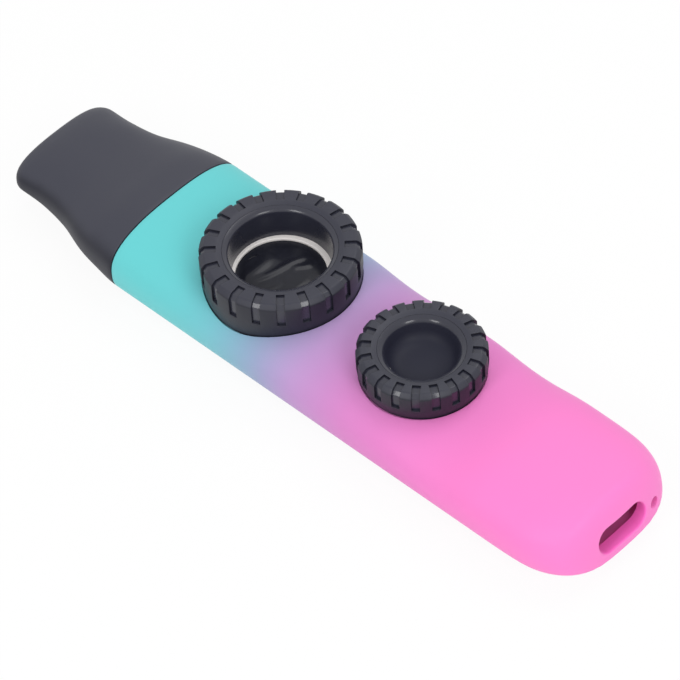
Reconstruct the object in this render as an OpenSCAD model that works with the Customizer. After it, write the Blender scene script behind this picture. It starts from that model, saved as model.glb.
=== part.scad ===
// A flat plastic kazoo with a screw-on membrane cap, an adjustable tone knob and a plug-in mouthpiece.
// X runs along the body towards the sound opening, Z points up out of the membrane cap.
// The origin lies on the resting face, under the middle of the length.
// Heights whose names end in _z are measured from the body's middle plane.

/* [Body] */
// Length of the coloured body, from the mouthpiece seam to the tip of the end dome
body_l = 106.6; // [100:0.1:118]
// Width of the body at the seam
body_w = 32; // [31:0.1:36]
// Height of the body at the seam
body_h = 15.5; // [15:0.1:17]
// Wall of the body shell
shell_wall = 2; // [1.4:0.1:2.4]
// Narrowing of the body from the seam to the end dome
body_draft = 1; // [0:0.1:2]
// Roundness of the cross section: 1 is an ellipse, less is squarer
section_share = 0.78; // [0.6:0.01:1]
// Length over which the end dome narrows, seen from above
plan_round = 20.1; // [12:0.1:22]
// Length over which the end dome's upper side falls to the tip
side_round = 4; // [3:0.1:8]
// Length over which the end dome's underside rises to the tip
low_round = 10.6; // [8:0.1:16]
// Height that the widest line sinks towards the tip
tip_drop = 3.8; // [2:0.1:4.2]
// Depth of the narrow flat along the underside
foot_flat = 0.25; // [0.1:0.05:0.5]
// Wall of the end dome around the sound opening
end_wall = 2.6; // [2:0.1:3.2]
// Depth of the two shallow dips across the top
dip_depth = 1; // [0:0.1:1.4]
// Length of each dip
dip_l = 23.5; // [12:0.5:26]
// Distance from the knob to the middle of the dip behind it
dip_gap = 2.2; // [1:0.1:6]

/* [Sound opening] */
// Width of the opening in the end dome
sound_w = 11.6; // [9:0.1:13]
// Height of the opening in the end dome
sound_h = 5.2; // [4.6:0.1:6]
// Height of the opening's middle
sound_z = 0.5; // [0:0.1:1.2]
// Diameter of the lanyard hole
lanyard_d = 2; // [1.6:0.1:2.6]
// Wall between the sound opening and the lanyard hole
lanyard_gap = 1.4; // [0.8:0.05:1.8]
// How far the lanyard hole lies below the middle of the opening
lanyard_drop = 0.9; // [0:0.1:1.2]

/* [Mouthpiece] */
// Length of the mouthpiece in front of the seam
mouth_l = 30.3; // [26:0.1:36]
// Width of the lips at the tip
tip_w = 24; // [21:0.1:27]
// Height of the upper lip's edge
tip_top_z = 4; // [3:0.1:5]
// Depth of the lower lip's edge
tip_low_z = 2.4; // [2.2:0.1:4]
// Rounding of the lips, seen from the side
lip_r = 1.1; // [0.6:0.1:1.3]
// Rounding of the tip's corners, seen from above
tip_corner = 3; // [2:0.1:5]
// Width of the air slot
air_w = 16; // [10:0.1:17]
// Height of the air slot
air_h = 3.2; // [2.4:0.1:3.6]
// Length of the spigot that plugs into the body
spigot_l = 8; // [6:0.1:9]
// Wall of the spigot
spigot_wall = 1.4; // [1.3:0.1:1.8]
// Width of the seal band on the spigot
seal_w = 1.6; // [1:0.1:2.4]
// Thickness of the seal band
seal_t = 0.6; // [0.4:0.1:0.8]

/* [Grip sleeves] */
// Thickness of the sleeves on the cap and the knob
sleeve_t = 0.5; // [0.4:0.05:0.8]
// Number of slots around each sleeve
slot_count = 20; // [12:1:24]
// Width of a slot
slot_w = 1.5; // [1:0.1:1.8]
// Bevel of the sleeve's upper edge
edge_bevel = 0.9; // [0.5:0.1:1.2]
// Drawing in of the skirts' lower edges, below the slots
skirt_taper = 0.5; // [0:0.05:0.6]
// Width of the sleeve's inner slope, from the highest line to the glossy rim
slope_w = 1; // [0.7:0.1:1.4]
// Fall of the sleeve's inner slope
slope_h = 0.35; // [0.2:0.05:0.6]
// Width of the glossy rim
rim_w = 1.1; // [0.5:0.05:1.3]
// Fall of the glossy rim
rim_h = 0.55; // [0.3:0.05:0.9]

/* [Membrane cap] */
// Distance from the seam to the cap
cap_gap = 12.9; // [12:0.1:15]
// Outer diameter
cap_d = 28.6; // [27:0.1:29.4]
// Depth of the cap's seat below the top of the body
cap_sink = 3.4; // [2.8:0.1:3.8]
// Width of the sleeve's upper edge, from its outside to its highest line
cap_crest_w = 3.1; // [2.7:0.1:3.4]
// Height of the sound bore above the membrane's ring
bore_h = 5.9; // [4.8:0.1:6.4]
// Widening of the bore's radius up to the rim
bore_taper = 0.25; // [0:0.05:0.4]
// Length of the slots, from the sleeve's highest line down
cap_slot_l = 4.7; // [3:0.1:6]
// Wall of the skirt behind the sleeve
cap_wall = 1.35; // [1.2:0.05:1.5]
// Rise of the cap in one turn
cap_pitch = 2.5; // [1.5:0.05:3]

/* [Membrane seat] */
// Wall of the threaded collar
collar_wall = 1.4; // [1.2:0.1:1.5]
// Height of the ledge that carries the gasket, above the cap's seat
ledge_h = 1.45; // [1.1:0.05:1.7]
// Width of the membrane's ring, from the collar's bore to the sound port
ring_w = 2.85; // [2.4:0.05:4]
// Thickness of the gasket
gasket_t = 0.5; // [0.3:0.1:0.6]
// Thickness of the membrane
film_t = 0.15; // [0.1:0.05:0.2]
// Thickness of the membrane's ring
ring_t = 0.55; // [0.4:0.05:0.9]

/* [Tone knob] */
// Distance from the cap to the knob
knob_gap = 7.7; // [5:0.1:10]
// Outer diameter
knob_d = 22.8; // [21.6:0.1:24]
// Depth of the knob's seat below the top of the body
knob_sink = 1.8; // [1.4:0.1:2.2]
// Width of the sleeve's upper edge, from its outside to its highest line
knob_crest_w = 2.7; // [2.4:0.1:3]
// Depth of the bowl, from the rim to its floor's edge
bowl_h = 3.1; // [2.4:0.1:3.6]
// Widening of the bowl's radius up to the rim
bowl_taper = 0.8; // [0.2:0.1:1]
// Depth of the floor's hollow
bowl_dish = 0.4; // [0.2:0.1:0.6]
// Height of the knob's boss above the valve
boss_h = 0.75; // [0.5:0.05:1]
// Length of the slots, from the sleeve's highest line down
knob_slot_l = 3.75; // [3:0.05:4.5]
// Wall of the knob
knob_wall = 1.05; // [0.9:0.05:1.2]
// Rise of the knob in one turn
knob_pitch = 1.5; // [1:0.05:2]

/* [Tone valve] */
// Wall of the valve's threaded collar
valve_wall = 1.45; // [1.2:0.05:1.6]
// Depth of the valve's seat below the knob's
seat_sink = 0.95; // [0.7:0.05:1.2]
// Thickness of the seat's floor
seat_floor = 1.4; // [1:0.1:1.6]
// Side of the square valve port
valve_port = 5; // [4:0.1:5.4]
// Thickness of the valve's disc
valve_t = 0.8; // [0.6:0.1:1]
// Diameter of the valve's disc
valve_d = 11; // [10:0.1:12]
// Thickness of the valve's sealing washer
washer_t = 0.6; // [0.4:0.1:0.7]
// Length of the valve's guide below the disc
guide_l = 3.4; // [2.6:0.1:4]
// Thickness of a guide wing
wing_t = 1.1; // [0.8:0.1:1.3]
// Diameter of the valve's pin
pin_d = 2.3; // [2:0.1:2.6]

/* [Hidden] */
$fn = 96;

// Clearance of a turning or sliding fit
fit_gap = 0.05;
// Clearance between pieces that never touch
free_gap = 0.25;
// How far a cut runs past the surface that it opens
overrun = 1;

// Curves of the end dome: 1 is an ellipse, less is squarer
plan_share = 0.525;
side_share = 1.2;
low_share = 1.1;
// How much rounder the cross section gets at the tip
tip_share = 0.4;
// Places of the cap and the knob, from the seam
cap_x = cap_gap + cap_d / 2;
knob_x = cap_x + cap_d / 2 + knob_gap + knob_d / 2;
// The first dip lies midway between the cap and the knob
dip_places = [cap_x + cap_d / 2 + knob_gap / 2, knob_x + knob_d / 2 + dip_gap];
// How far the dips draw in the upper sides, beside their depth
dip_pinch_share = 0.7;
// Points around the outer and inner sections, and rings along them
outer_points = 40;
inner_points = 24;
straight_rings = 26;
cavity_rings = 18;
cavity_end_rings = 8;
dome_rings = 11;
last_ring_angle = 88.6;

foot_z = body_h / 2 - body_draft * body_h / body_w / 2 - foot_flat;
cavity_l = body_l - end_wall;
lanyard_y = sound_w / 2 + lanyard_gap + lanyard_d / 2;
lanyard_z = sound_z - lanyard_drop;

// Where the seal band starts on the spigot
seal_place_share = 0.6;
seal_x = spigot_l * seal_place_share;

// The mouthpiece's outline: places from the seam to the tip, and how far each size has changed by then
mouth_place_shares = [0, 0.165, 0.33, 0.53, 0.73, 0.89, 1];
mouth_width_shares = [0, 0.14, 0.38, 0.86, 1.07, 1.05, 1];
mouth_top_shares = [0, 0.02, 0.25, 0.47, 0.55, 0.73, 1];
mouth_low_shares = [0, 0.12, 0.215, 0.42, 0.68, 0.89, 1];
mouth_rings = 22;
lip_rings = 8;
// Places of the air channel's sections, and how far it has opened to the spigot's bore
air_place_shares = [1, 0.85, 0.5, 0.2, 0];
air_open_shares = [0, 0.02, 0.35, 0.85, 1];

// Radii of the cap and its collar, from the outside in
cap_r = cap_d / 2;
cap_crest_r = cap_r - cap_crest_w;
cap_gloss_r = cap_crest_r - slope_w;
cap_rim_r = cap_gloss_r - rim_w;
cap_bore_r = cap_rim_r - bore_taper;
cap_thread_r = cap_r - sleeve_t - cap_wall;
collar_r = cap_thread_r - fit_gap;
collar_bore_r = collar_r - collar_wall;
ring_r = collar_bore_r - fit_gap;
port_r = ring_r - ring_w;
cap_lip_r = collar_bore_r - free_gap;
cap_well_r = cap_r - skirt_taper + free_gap;
neck_wall = 2.1;
neck_r = port_r + neck_wall;

// Heights of the cap's seat, the stack on its ledge and the cap
well_floor = 1.5;
cap_well_z = body_h / 2 - cap_sink;
cap_skirt_z = cap_well_z + free_gap;
ledge_z = cap_well_z + ledge_h;
film_z = ledge_z + gasket_t;
ring_z = film_z + film_t;
lip_z = ring_z + ring_t;
cap_rim_z = lip_z + bore_h;
cap_gloss_z = cap_rim_z + rim_h;
cap_crest_z = cap_gloss_z + slope_h;
cap_slot_z = cap_crest_z - cap_slot_l;
cap_web_z = cap_crest_z - sleeve_t - cap_wall;
collar_top_z = cap_web_z - free_gap;

// Radii of the knob and its collar, from the outside in
knob_r = knob_d / 2;
knob_crest_r = knob_r - knob_crest_w;
knob_gloss_r = knob_crest_r - slope_w;
knob_rim_r = knob_gloss_r - rim_w;
bowl_r = knob_rim_r - bowl_taper;
knob_thread_r = knob_r - sleeve_t - knob_wall;
valve_collar_r = knob_thread_r - fit_gap;
valve_bore_r = valve_collar_r - valve_wall;
knob_well_r = knob_r - skirt_taper + free_gap;
valve_neck_r = valve_bore_r + fit_gap;

// Heights of the knob's seat, the valve above its own seat and the knob
knob_well_z = body_h / 2 - knob_sink;
knob_skirt_z = knob_well_z + free_gap;
seat_z = knob_well_z - seat_sink;
disc_z = seat_z + washer_t;
disc_top_z = disc_z + valve_t;
bowl_low_z = disc_top_z + boss_h;
bowl_z = bowl_low_z + knob_wall + bowl_dish;
knob_rim_z = bowl_z + bowl_h;
knob_gloss_z = knob_rim_z + rim_h;
knob_crest_z = knob_gloss_z + slope_h;
knob_slot_z = knob_crest_z - knob_slot_l;
knob_web_z = knob_crest_z - sleeve_t - knob_wall;
valve_collar_top_z = knob_web_z - free_gap;

// The valve's pin, with its head
pin_h = 1;
pin_z = disc_top_z + pin_h;
pin_head_h = 0.4;
pin_head_d = pin_d + pin_head_h;
boss_wall = 1.3;
boss_d = pin_d + 2 * boss_wall;

// Threads are drawn as round ridges
thread_depth = 0.4;
ridge_w = 0.5;

// Turn of the first slot from the X axis, in degrees
cap_slot_angle = 8;
knob_slot_angle = 1;

// Share of the width or height that is left at a place along the end dome
function dome(x, round_l, share) =
    let (u = max(0, min(1, (x - body_l + round_l) / round_l)))
    pow(1 - pow(u, 2 / share), share / 2);
function half_width(x) = (body_w - body_draft * x / body_l) / 2 * dome(x, plan_round, plan_share);
function half_height(x) = (body_h - body_draft * body_h / body_w * x / body_l) / 2;
function low_left(x) = dome(x, low_round, low_share);

// Heights of the widest line and the upper side, and depth of the underside, along the body
function waist(x) = -tip_drop * (1 - low_left(x));
function top(x) = waist(x) + (half_height(x) - waist(x)) * dome(x, side_round, side_share);
function low(x) = (half_height(x) + waist(x)) * low_left(x) - waist(x);
function roundness(x) = section_share + tip_share * (1 - low_left(x));

// Depth of the dips at a place along the body
function dip(x) = max([for (place = dip_places)
    abs(x - place) < dip_l / 2 ? dip_depth * (1 + cos(360 * (x - place) / dip_l)) / 2 : 0]);

// One rounded section across the body, with its own height above and depth below the middle plane
function section(x, half_w, up, down, count, floor_z = body_h, pinch = 0, waist_z = 0,
        share = section_share) = [for (i = [0:count - 1])
    let (c = cos(360 * i / count), s = sin(360 * i / count))
    [x, half_w * sign(c) * pow(abs(c), share) * (1 - pinch * max(0, s)),
        max(-floor_z, waist_z + (s > 0 ? up - waist_z : down + waist_z) * sign(s) * pow(abs(s), share))]];

// Cubic curve through values given at rising places
function slope(places, values, i) =
    let (a = max(0, i - 1), b = min(len(places) - 1, i + 1))
    i == 0 ? 0 : (values[b] - values[a]) / (places[b] - places[a]);
function curve(places, values, p) =
    let (i = max([for (k = [0:len(places) - 2]) p >= places[k] ? k : 0]),
        w = places[i + 1] - places[i], t = (p - places[i]) / w)
    (2 * t * t * t - 3 * t * t + 1) * values[i] + (t * t * t - 2 * t * t + t) * w * slope(places, values, i)
    + (3 * t * t - 2 * t * t * t) * values[i + 1] + (t * t * t - t * t) * w * slope(places, values, i + 1);

// A closed skin over a row of sections
module skin(rings) {
    n = len(rings[0]);
    last = len(rings) - 1;
    sides = [for (r = [0:last - 1]) for (i = [0:n - 1]) let (j = (i + 1) % n)
        each [[r * n + i, (r + 1) * n + j, r * n + j], [r * n + i, (r + 1) * n + i, (r + 1) * n + j]]];
    start = [[for (i = [0:n - 1]) i]];
    end = [[for (i = [n - 1:-1:0]) last * n + i]];
    polyhedron(points = [for (ring = rings) each ring], faces = concat(start, sides, end));
}

function pinch(x) = dip(x) * dip_pinch_share / half_height(0);
function outer_section(x) = section(x, half_width(x), top(x) - dip(x), low(x), outer_points, foot_z,
    pinch(x), waist(x), roundness(x));

module body_outside() {
    dome_x = body_l - plan_round;
    skin(concat(
        [for (i = [0:straight_rings - 1]) outer_section(dome_x * i / straight_rings)],
        [for (i = [0:dome_rings])
            outer_section(dome_x + plan_round * sin(last_ring_angle * i / dome_rings))]));
}

// The hollow follows the outside, one wall further in
function cavity_width(x) = half_width(x + shell_wall / 2) - shell_wall;
function cavity_height(x) = top(x + shell_wall / 2) - shell_wall;
function cavity_depth(x) = low(x + shell_wall / 2) - shell_wall;
function cavity_section(x, spare = 0) =
    section(x, cavity_width(x) - spare, cavity_height(x) - dip(x) - spare, cavity_depth(x) - spare,
        inner_points, body_h, pinch(x), waist(x + shell_wall / 2), roundness(x + shell_wall / 2));

module cavity() {
    curve_x = body_l - plan_round - shell_wall;
    skin(concat(
        [[for (p = cavity_section(0)) [-overrun, p.y, p.z]]],
        [for (i = [0:cavity_rings]) cavity_section(curve_x * i / cavity_rings)],
        [for (i = [1:cavity_end_rings])
            cavity_section(curve_x + (cavity_l - curve_x) * sin(90 * i / cavity_end_rings))]));
}

// Upright cylinder between two heights
module post(r, low, top) {
    translate([0, 0, low])
        cylinder(h = top - low, r = r);
}

// Moves a piece from the seam to the cap's or the knob's axis
module on_axis(x) {
    translate([x, 0, 0])
        children();
}

// The long round opening through the end dome
module sound_cut() {
    translate([cavity_l - shell_wall, 0, sound_z])
        rotate([90, 0, 90])
            linear_extrude(body_l - cavity_l + shell_wall + overrun)
                for (side = [-1, 1]) {
                    translate([side * (sound_w - sound_h) / 2, 0])
                        circle(d = sound_h);
                    translate([side * (sound_w - sound_h) / 4, 0])
                        square([(sound_w - sound_h) / 2, sound_h], center = true);
                }
}

// Moves a piece from the seam and middle plane to the part's origin
module placed() {
    translate([(mouth_l - body_l) / 2, 0, foot_z])
        children();
}

// Round well in the body's top, widening along the skirt's taper, with a hole in its floor
module well(low_r, top_r, hole_r, floor_z, taper_z) {
    hole_z = floor_z - well_floor - overrun;
    rotate_extrude()
        polygon([[0, hole_z], [hole_r, hole_z], [hole_r, floor_z], [low_r, floor_z],
            [top_r, taper_z], [top_r, taper_z + body_h], [0, taper_z + body_h]]);
}

module body_shell() {
    color([0.76, 0.56, 0.82])
        placed()
            difference() {
                body_outside();
                difference() {
                    cavity();
                    on_axis(cap_x)
                        post(cap_well_r + shell_wall, cap_well_z - well_floor, body_h);
                    on_axis(knob_x)
                        post(knob_well_r + shell_wall, knob_well_z - well_floor, body_h);
                }
                on_axis(cap_x)
                    well(cap_well_r, cap_r + free_gap, neck_r, cap_well_z, cap_slot_z - skirt_taper);
                on_axis(knob_x)
                    well(knob_well_r, knob_r + free_gap, valve_neck_r, knob_well_z,
                        knob_slot_z - skirt_taper);
                sound_cut();
                translate([cavity_l - plan_round, lanyard_y, lanyard_z])
                    rotate([0, 90, 0])
                        cylinder(h = plan_round + overrun + shell_wall * 2, d = lanyard_d);
            }
}

// How far a rounded end has drawn in at a distance from that end
function rounding(r, distance) = distance < r ? r - sqrt(r * r - (r - distance) * (r - distance)) : 0;

// Sections of the mouthpiece, p running from 0 at the seam to 1 at the tip
function mouth_section(p) =
    let (tip = [tip_w / 2, tip_top_z, tip_low_z], seam = [body_w / 2, body_h / 2, body_h / 2],
        w = curve(mouth_place_shares, mouth_width_shares, p),
        a = curve(mouth_place_shares, mouth_top_shares, p),
        b = curve(mouth_place_shares, mouth_low_shares, p),
        side_trim = rounding(tip_corner, mouth_l * (1 - p)), lip_trim = rounding(lip_r, mouth_l * (1 - p)))
    section(-mouth_l * p, seam[0] + (tip[0] - seam[0]) * w - side_trim,
        seam[1] + (tip[1] - seam[1]) * a - lip_trim, seam[2] + (tip[2] - seam[2]) * b - lip_trim,
        outer_points, foot_z);

module mouth_outside() {
    corner_share = tip_corner / mouth_l;
    skin(concat(
        [for (i = [lip_rings:-1:1]) mouth_section(1 - corner_share * (1 - sin(90 * i / lip_rings)))],
        [for (i = [mouth_rings:-1:0]) mouth_section((1 - corner_share) * i / mouth_rings)]));
}

function air_section(x, open) =
    let (slot_z = (tip_top_z - tip_low_z) / 2,
        bore_w = cavity_width(spigot_l) - fit_gap - spigot_wall,
        bore_h = cavity_height(spigot_l) - fit_gap - spigot_wall,
        w = air_w / 2 + (bore_w - air_w / 2) * open,
        h = air_h / 2 + (bore_h - air_h / 2) * open)
    [for (p = section(x, w, h, h, inner_points)) [p.x, p.y, p.z + slot_z * (1 - open)]];

module air_channel() {
    last = len(air_place_shares) - 1;
    skin(concat(
        [air_section(-mouth_l - overrun, 0)],
        [for (i = [0:last]) air_section(-mouth_l * air_place_shares[i], air_open_shares[i])],
        [air_section(spigot_l + overrun, 1)]));
}

// A straight band between two places, with the hollow's outline made smaller by spare
module band(from_x, to_x, spare) {
    translate([from_x, 0, 0])
        rotate([90, 0, 90])
            linear_extrude(to_x - from_x)
                polygon([for (p = cavity_section(spigot_l, spare)) [p.y, p.z]]);
}

module mouthpiece() {
    color([0.14, 0.14, 0.16])
        placed()
            difference() {
                union() {
                    mouth_outside();
                    band(-fit_gap, spigot_l, fit_gap);
                }
                air_channel();
                difference() {
                    band(seal_x, seal_x + seal_w, -overrun);
                    band(seal_x - overrun, seal_x + seal_w + overrun, seal_t + fit_gap);
                }
            }
}

module mouthpiece_seal() {
    color([0.2, 0.2, 0.21])
        placed()
            difference() {
                band(seal_x, seal_x + seal_w, fit_gap);
                band(seal_x - overrun, seal_x + seal_w + overrun, seal_t + fit_gap);
            }
}

// Round ridges up a collar, as points of its outline from the bottom up
function ridges(r, low, top, pitch) =
    let (count = floor((top - low - ridge_w) / pitch))
    [for (i = [0:count - 1]) let (z = top - ridge_w - (count - i) * pitch + pitch / 2)
        each [[r - thread_depth, z - ridge_w], [r, z - ridge_w / 2], [r, z + ridge_w / 2],
            [r - thread_depth, z + ridge_w]]];

// Collar with a ledge inside, a neck below and a thread outside
module collar(r, bore_r, port_r, neck, bottom_z, floor_z, rest_z, top_z, pitch) {
    rotate_extrude()
        polygon(concat(
            [[port_r, bottom_z], [neck, bottom_z], [neck, floor_z], [r - thread_depth, floor_z]],
            ridges(r, floor_z + pitch / 2, top_z, pitch),
            [[r - thread_depth, top_z], [bore_r, top_z], [bore_r, rest_z], [port_r, rest_z]]));
}

module membrane_collar() {
    color([0.12, 0.12, 0.13])
        placed()
            on_axis(cap_x)
                collar(collar_r, collar_bore_r, port_r, neck_r, cap_well_z - well_floor, cap_well_z,
                    ledge_z, collar_top_z, cap_pitch);
}

// Flat washer
module washer(outer_r, inner_r, low_z, t) {
    translate([0, 0, low_z])
        difference() {
            cylinder(h = t, r = outer_r);
            translate([0, 0, -overrun])
                cylinder(h = t + 2 * overrun, r = inner_r);
        }
}

module membrane_gasket() {
    color([0.25, 0.25, 0.27])
        placed()
            on_axis(cap_x)
                washer(ring_r, port_r, ledge_z, gasket_t);
}

module membrane_film() {
    color([0.3, 0.3, 0.33, 0.6])
        placed()
            on_axis(cap_x)
                post(ring_r, film_z, ring_z);
}

module membrane_ring() {
    color([0.8, 0.8, 0.78])
        placed()
            on_axis(cap_x)
                washer(ring_r, port_r, ring_z, ring_t);
}

// Outline of a sleeve's outer or inner face, from the top's inner edge down to the skirt.
// The face at depth t lies t inside the outer one. It draws in below the slots.
function sleeve_face(r, crest_r, gloss_r, crest_z, gloss_z, skirt_z, slot_z, t) =
    let (corner = t * tan(22.5))
    [[gloss_r, gloss_z - t], [crest_r, crest_z - t], [r - edge_bevel - corner, crest_z - t],
        [r - t, crest_z - edge_bevel - corner], [r - t, slot_z - skirt_taper],
        [r - t - skirt_taper, skirt_z]];

// Grip sleeve with slots cut right through to the hub
module sleeve(r, crest_r, gloss_r, crest_z, gloss_z, skirt_z, slot_z, angle) {
    outer = sleeve_face(r, crest_r, gloss_r, crest_z, gloss_z, skirt_z, slot_z, 0);
    inner = sleeve_face(r, crest_r, gloss_r, crest_z, gloss_z, skirt_z, slot_z, sleeve_t);
    difference() {
        rotate_extrude()
            polygon(concat(outer, [for (i = [len(inner) - 1:-1:0]) inner[i]]));
        for (i = [0:slot_count - 1])
            rotate([0, 0, angle + 360 * i / slot_count])
                translate([crest_r, -slot_w / 2, slot_z])
                    cube([r - crest_r + overrun, slot_w, crest_z - slot_z + overrun]);
    }
}

module cap_sleeve() {
    color([0.17, 0.17, 0.19])
        placed()
            on_axis(cap_x)
                sleeve(cap_r, cap_crest_r, cap_gloss_r, cap_crest_z, cap_gloss_z, cap_skirt_z,
                    cap_slot_z, cap_slot_angle);
}

module cap_hub() {
    color([0.08, 0.08, 0.09])
        placed()
            on_axis(cap_x)
                rotate_extrude()
                    polygon(concat(
                        [[cap_bore_r, lip_z], [cap_rim_r, cap_rim_z], [cap_gloss_r, cap_gloss_z]],
                        sleeve_face(cap_r, cap_crest_r, cap_gloss_r, cap_crest_z, cap_gloss_z,
                            cap_skirt_z, cap_slot_z, sleeve_t),
                        [[cap_thread_r, cap_skirt_z], [cap_thread_r, cap_web_z], [cap_lip_r, cap_web_z],
                            [cap_lip_r, lip_z]]));
}

module valve_collar() {
    color([0.12, 0.12, 0.13])
        placed()
            on_axis(knob_x)
                difference() {
                    collar(valve_collar_r, valve_bore_r, 0, valve_neck_r, seat_z - seat_floor, knob_well_z,
                        seat_z, valve_collar_top_z, knob_pitch);
                    translate([-valve_port / 2, -valve_port / 2, seat_z - seat_floor - overrun])
                        cube([valve_port, valve_port, seat_floor + 2 * overrun]);
                }
}

// Disc that lifts off the port, with a crossed guide that stops it turning and a pin for the knob
module valve_plug() {
    wing_l = (valve_port - 2 * fit_gap) * sqrt(2) - wing_t;
    color([0.85, 0.85, 0.83])
        placed()
            on_axis(knob_x) {
                post(valve_d / 2, disc_z, disc_top_z);
                post(pin_d / 2, disc_top_z, pin_z);
                post(pin_head_d / 2, pin_z - pin_head_h, pin_z);
                for (angle = [45, 135])
                    rotate([0, 0, angle])
                        translate([-wing_l / 2, -wing_t / 2, disc_z - guide_l])
                            cube([wing_l, wing_t, guide_l]);
            }
}

module valve_washer() {
    color([0.3, 0.3, 0.32])
        placed()
            on_axis(knob_x)
                washer(valve_d / 2, valve_port * sqrt(2) / 2 + fit_gap, seat_z, washer_t);
}

module knob_sleeve() {
    color([0.17, 0.17, 0.19])
        placed()
            on_axis(knob_x)
                sleeve(knob_r, knob_crest_r, knob_gloss_r, knob_crest_z, knob_gloss_z,
                    knob_skirt_z, knob_slot_z, knob_slot_angle);
}

module knob_hub() {
    color([0.08, 0.08, 0.09])
        placed()
            on_axis(knob_x)
                difference() {
                    rotate_extrude()
                        polygon(concat(
                            [[0, bowl_z - bowl_dish], [bowl_r, bowl_z],
                                [knob_rim_r, knob_rim_z], [knob_gloss_r, knob_gloss_z]],
                            sleeve_face(knob_r, knob_crest_r, knob_gloss_r, knob_crest_z,
                                knob_gloss_z, knob_skirt_z, knob_slot_z, sleeve_t),
                            [[knob_thread_r, knob_skirt_z], [knob_thread_r, knob_web_z],
                                [knob_rim_r + knob_wall, knob_web_z],
                                [bowl_r + knob_wall / 2, bowl_low_z],
                                [boss_d / 2, bowl_low_z], [boss_d / 2, disc_top_z], [0, disc_top_z]]));
                    post(pin_d / 2 + fit_gap, disc_top_z - overrun, pin_z);
                    post(pin_head_d / 2 + fit_gap, pin_z - pin_head_h - fit_gap,
                        pin_z + fit_gap);
                }
}

body_shell();
mouthpiece();
mouthpiece_seal();
membrane_collar();
membrane_gasket();
membrane_film();
membrane_ring();
cap_hub();
cap_sleeve();
valve_collar();
valve_plug();
valve_washer();
knob_hub();
knob_sleeve();
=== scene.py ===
import math
from types import SimpleNamespace

import bmesh
import bpy
from bpy.props import FloatProperty, FloatVectorProperty, IntProperty, PointerProperty
from bpy.types import Operator, Panel, PropertyGroup
from mathutils import Matrix, Vector


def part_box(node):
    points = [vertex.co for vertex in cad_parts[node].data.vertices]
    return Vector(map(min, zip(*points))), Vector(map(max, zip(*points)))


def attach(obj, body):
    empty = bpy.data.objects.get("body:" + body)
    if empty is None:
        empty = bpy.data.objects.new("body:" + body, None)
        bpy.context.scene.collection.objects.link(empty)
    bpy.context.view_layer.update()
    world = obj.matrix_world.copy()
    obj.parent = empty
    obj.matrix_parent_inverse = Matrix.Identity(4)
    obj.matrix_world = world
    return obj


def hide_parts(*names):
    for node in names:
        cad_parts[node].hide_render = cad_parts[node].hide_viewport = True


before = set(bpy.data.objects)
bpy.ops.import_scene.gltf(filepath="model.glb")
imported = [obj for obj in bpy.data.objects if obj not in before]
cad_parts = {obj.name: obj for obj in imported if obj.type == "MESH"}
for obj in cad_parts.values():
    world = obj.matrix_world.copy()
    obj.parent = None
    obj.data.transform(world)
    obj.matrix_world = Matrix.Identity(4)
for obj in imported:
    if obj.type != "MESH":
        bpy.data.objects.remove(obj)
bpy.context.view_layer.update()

bl_info = {
    "name": "Kazoo",
    "version": (1, 0, 0),
    "blender": (4, 5, 0),
    "location": "View3D > Sidebar > Kazoo",
    "description": "Builds a plastic kazoo with a screw-on membrane cap and a tone knob",
    "category": "Add Mesh",
}

# Shapes are modelled in millimetres from the mouthpiece seam and the body's middle plane.
MM = 0.001
UP = Vector((0, 0, 1))
FINE = 0.0005  # merging distance for meshes with fine detail
SIDE_SHARE = 0.45  # the most of a side that the rounding of its corner takes up


# ---- Sizes and colours ----

def length(name, description, value):
    return FloatProperty(name=name, description=description, default=value * MM, min=0,
                         precision=5, subtype="DISTANCE", unit="LENGTH")


def share(name, description, value):
    return FloatProperty(name=name, description=description, default=value, min=0, max=1.5,
                         subtype="FACTOR")


def colour(name, description, red, green, blue):
    return FloatVectorProperty(name=name, description=description, size=3, min=0, max=1,
                               default=(red / 255, green / 255, blue / 255),
                               subtype="COLOR_GAMMA")


def angle(name, description, degrees):
    return FloatProperty(name=name, description=description, default=math.radians(degrees),
                         subtype="ANGLE")


def power(name, description, watts):
    return FloatProperty(name=name, description=description, default=watts, subtype="POWER",
                         unit="POWER")


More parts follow.
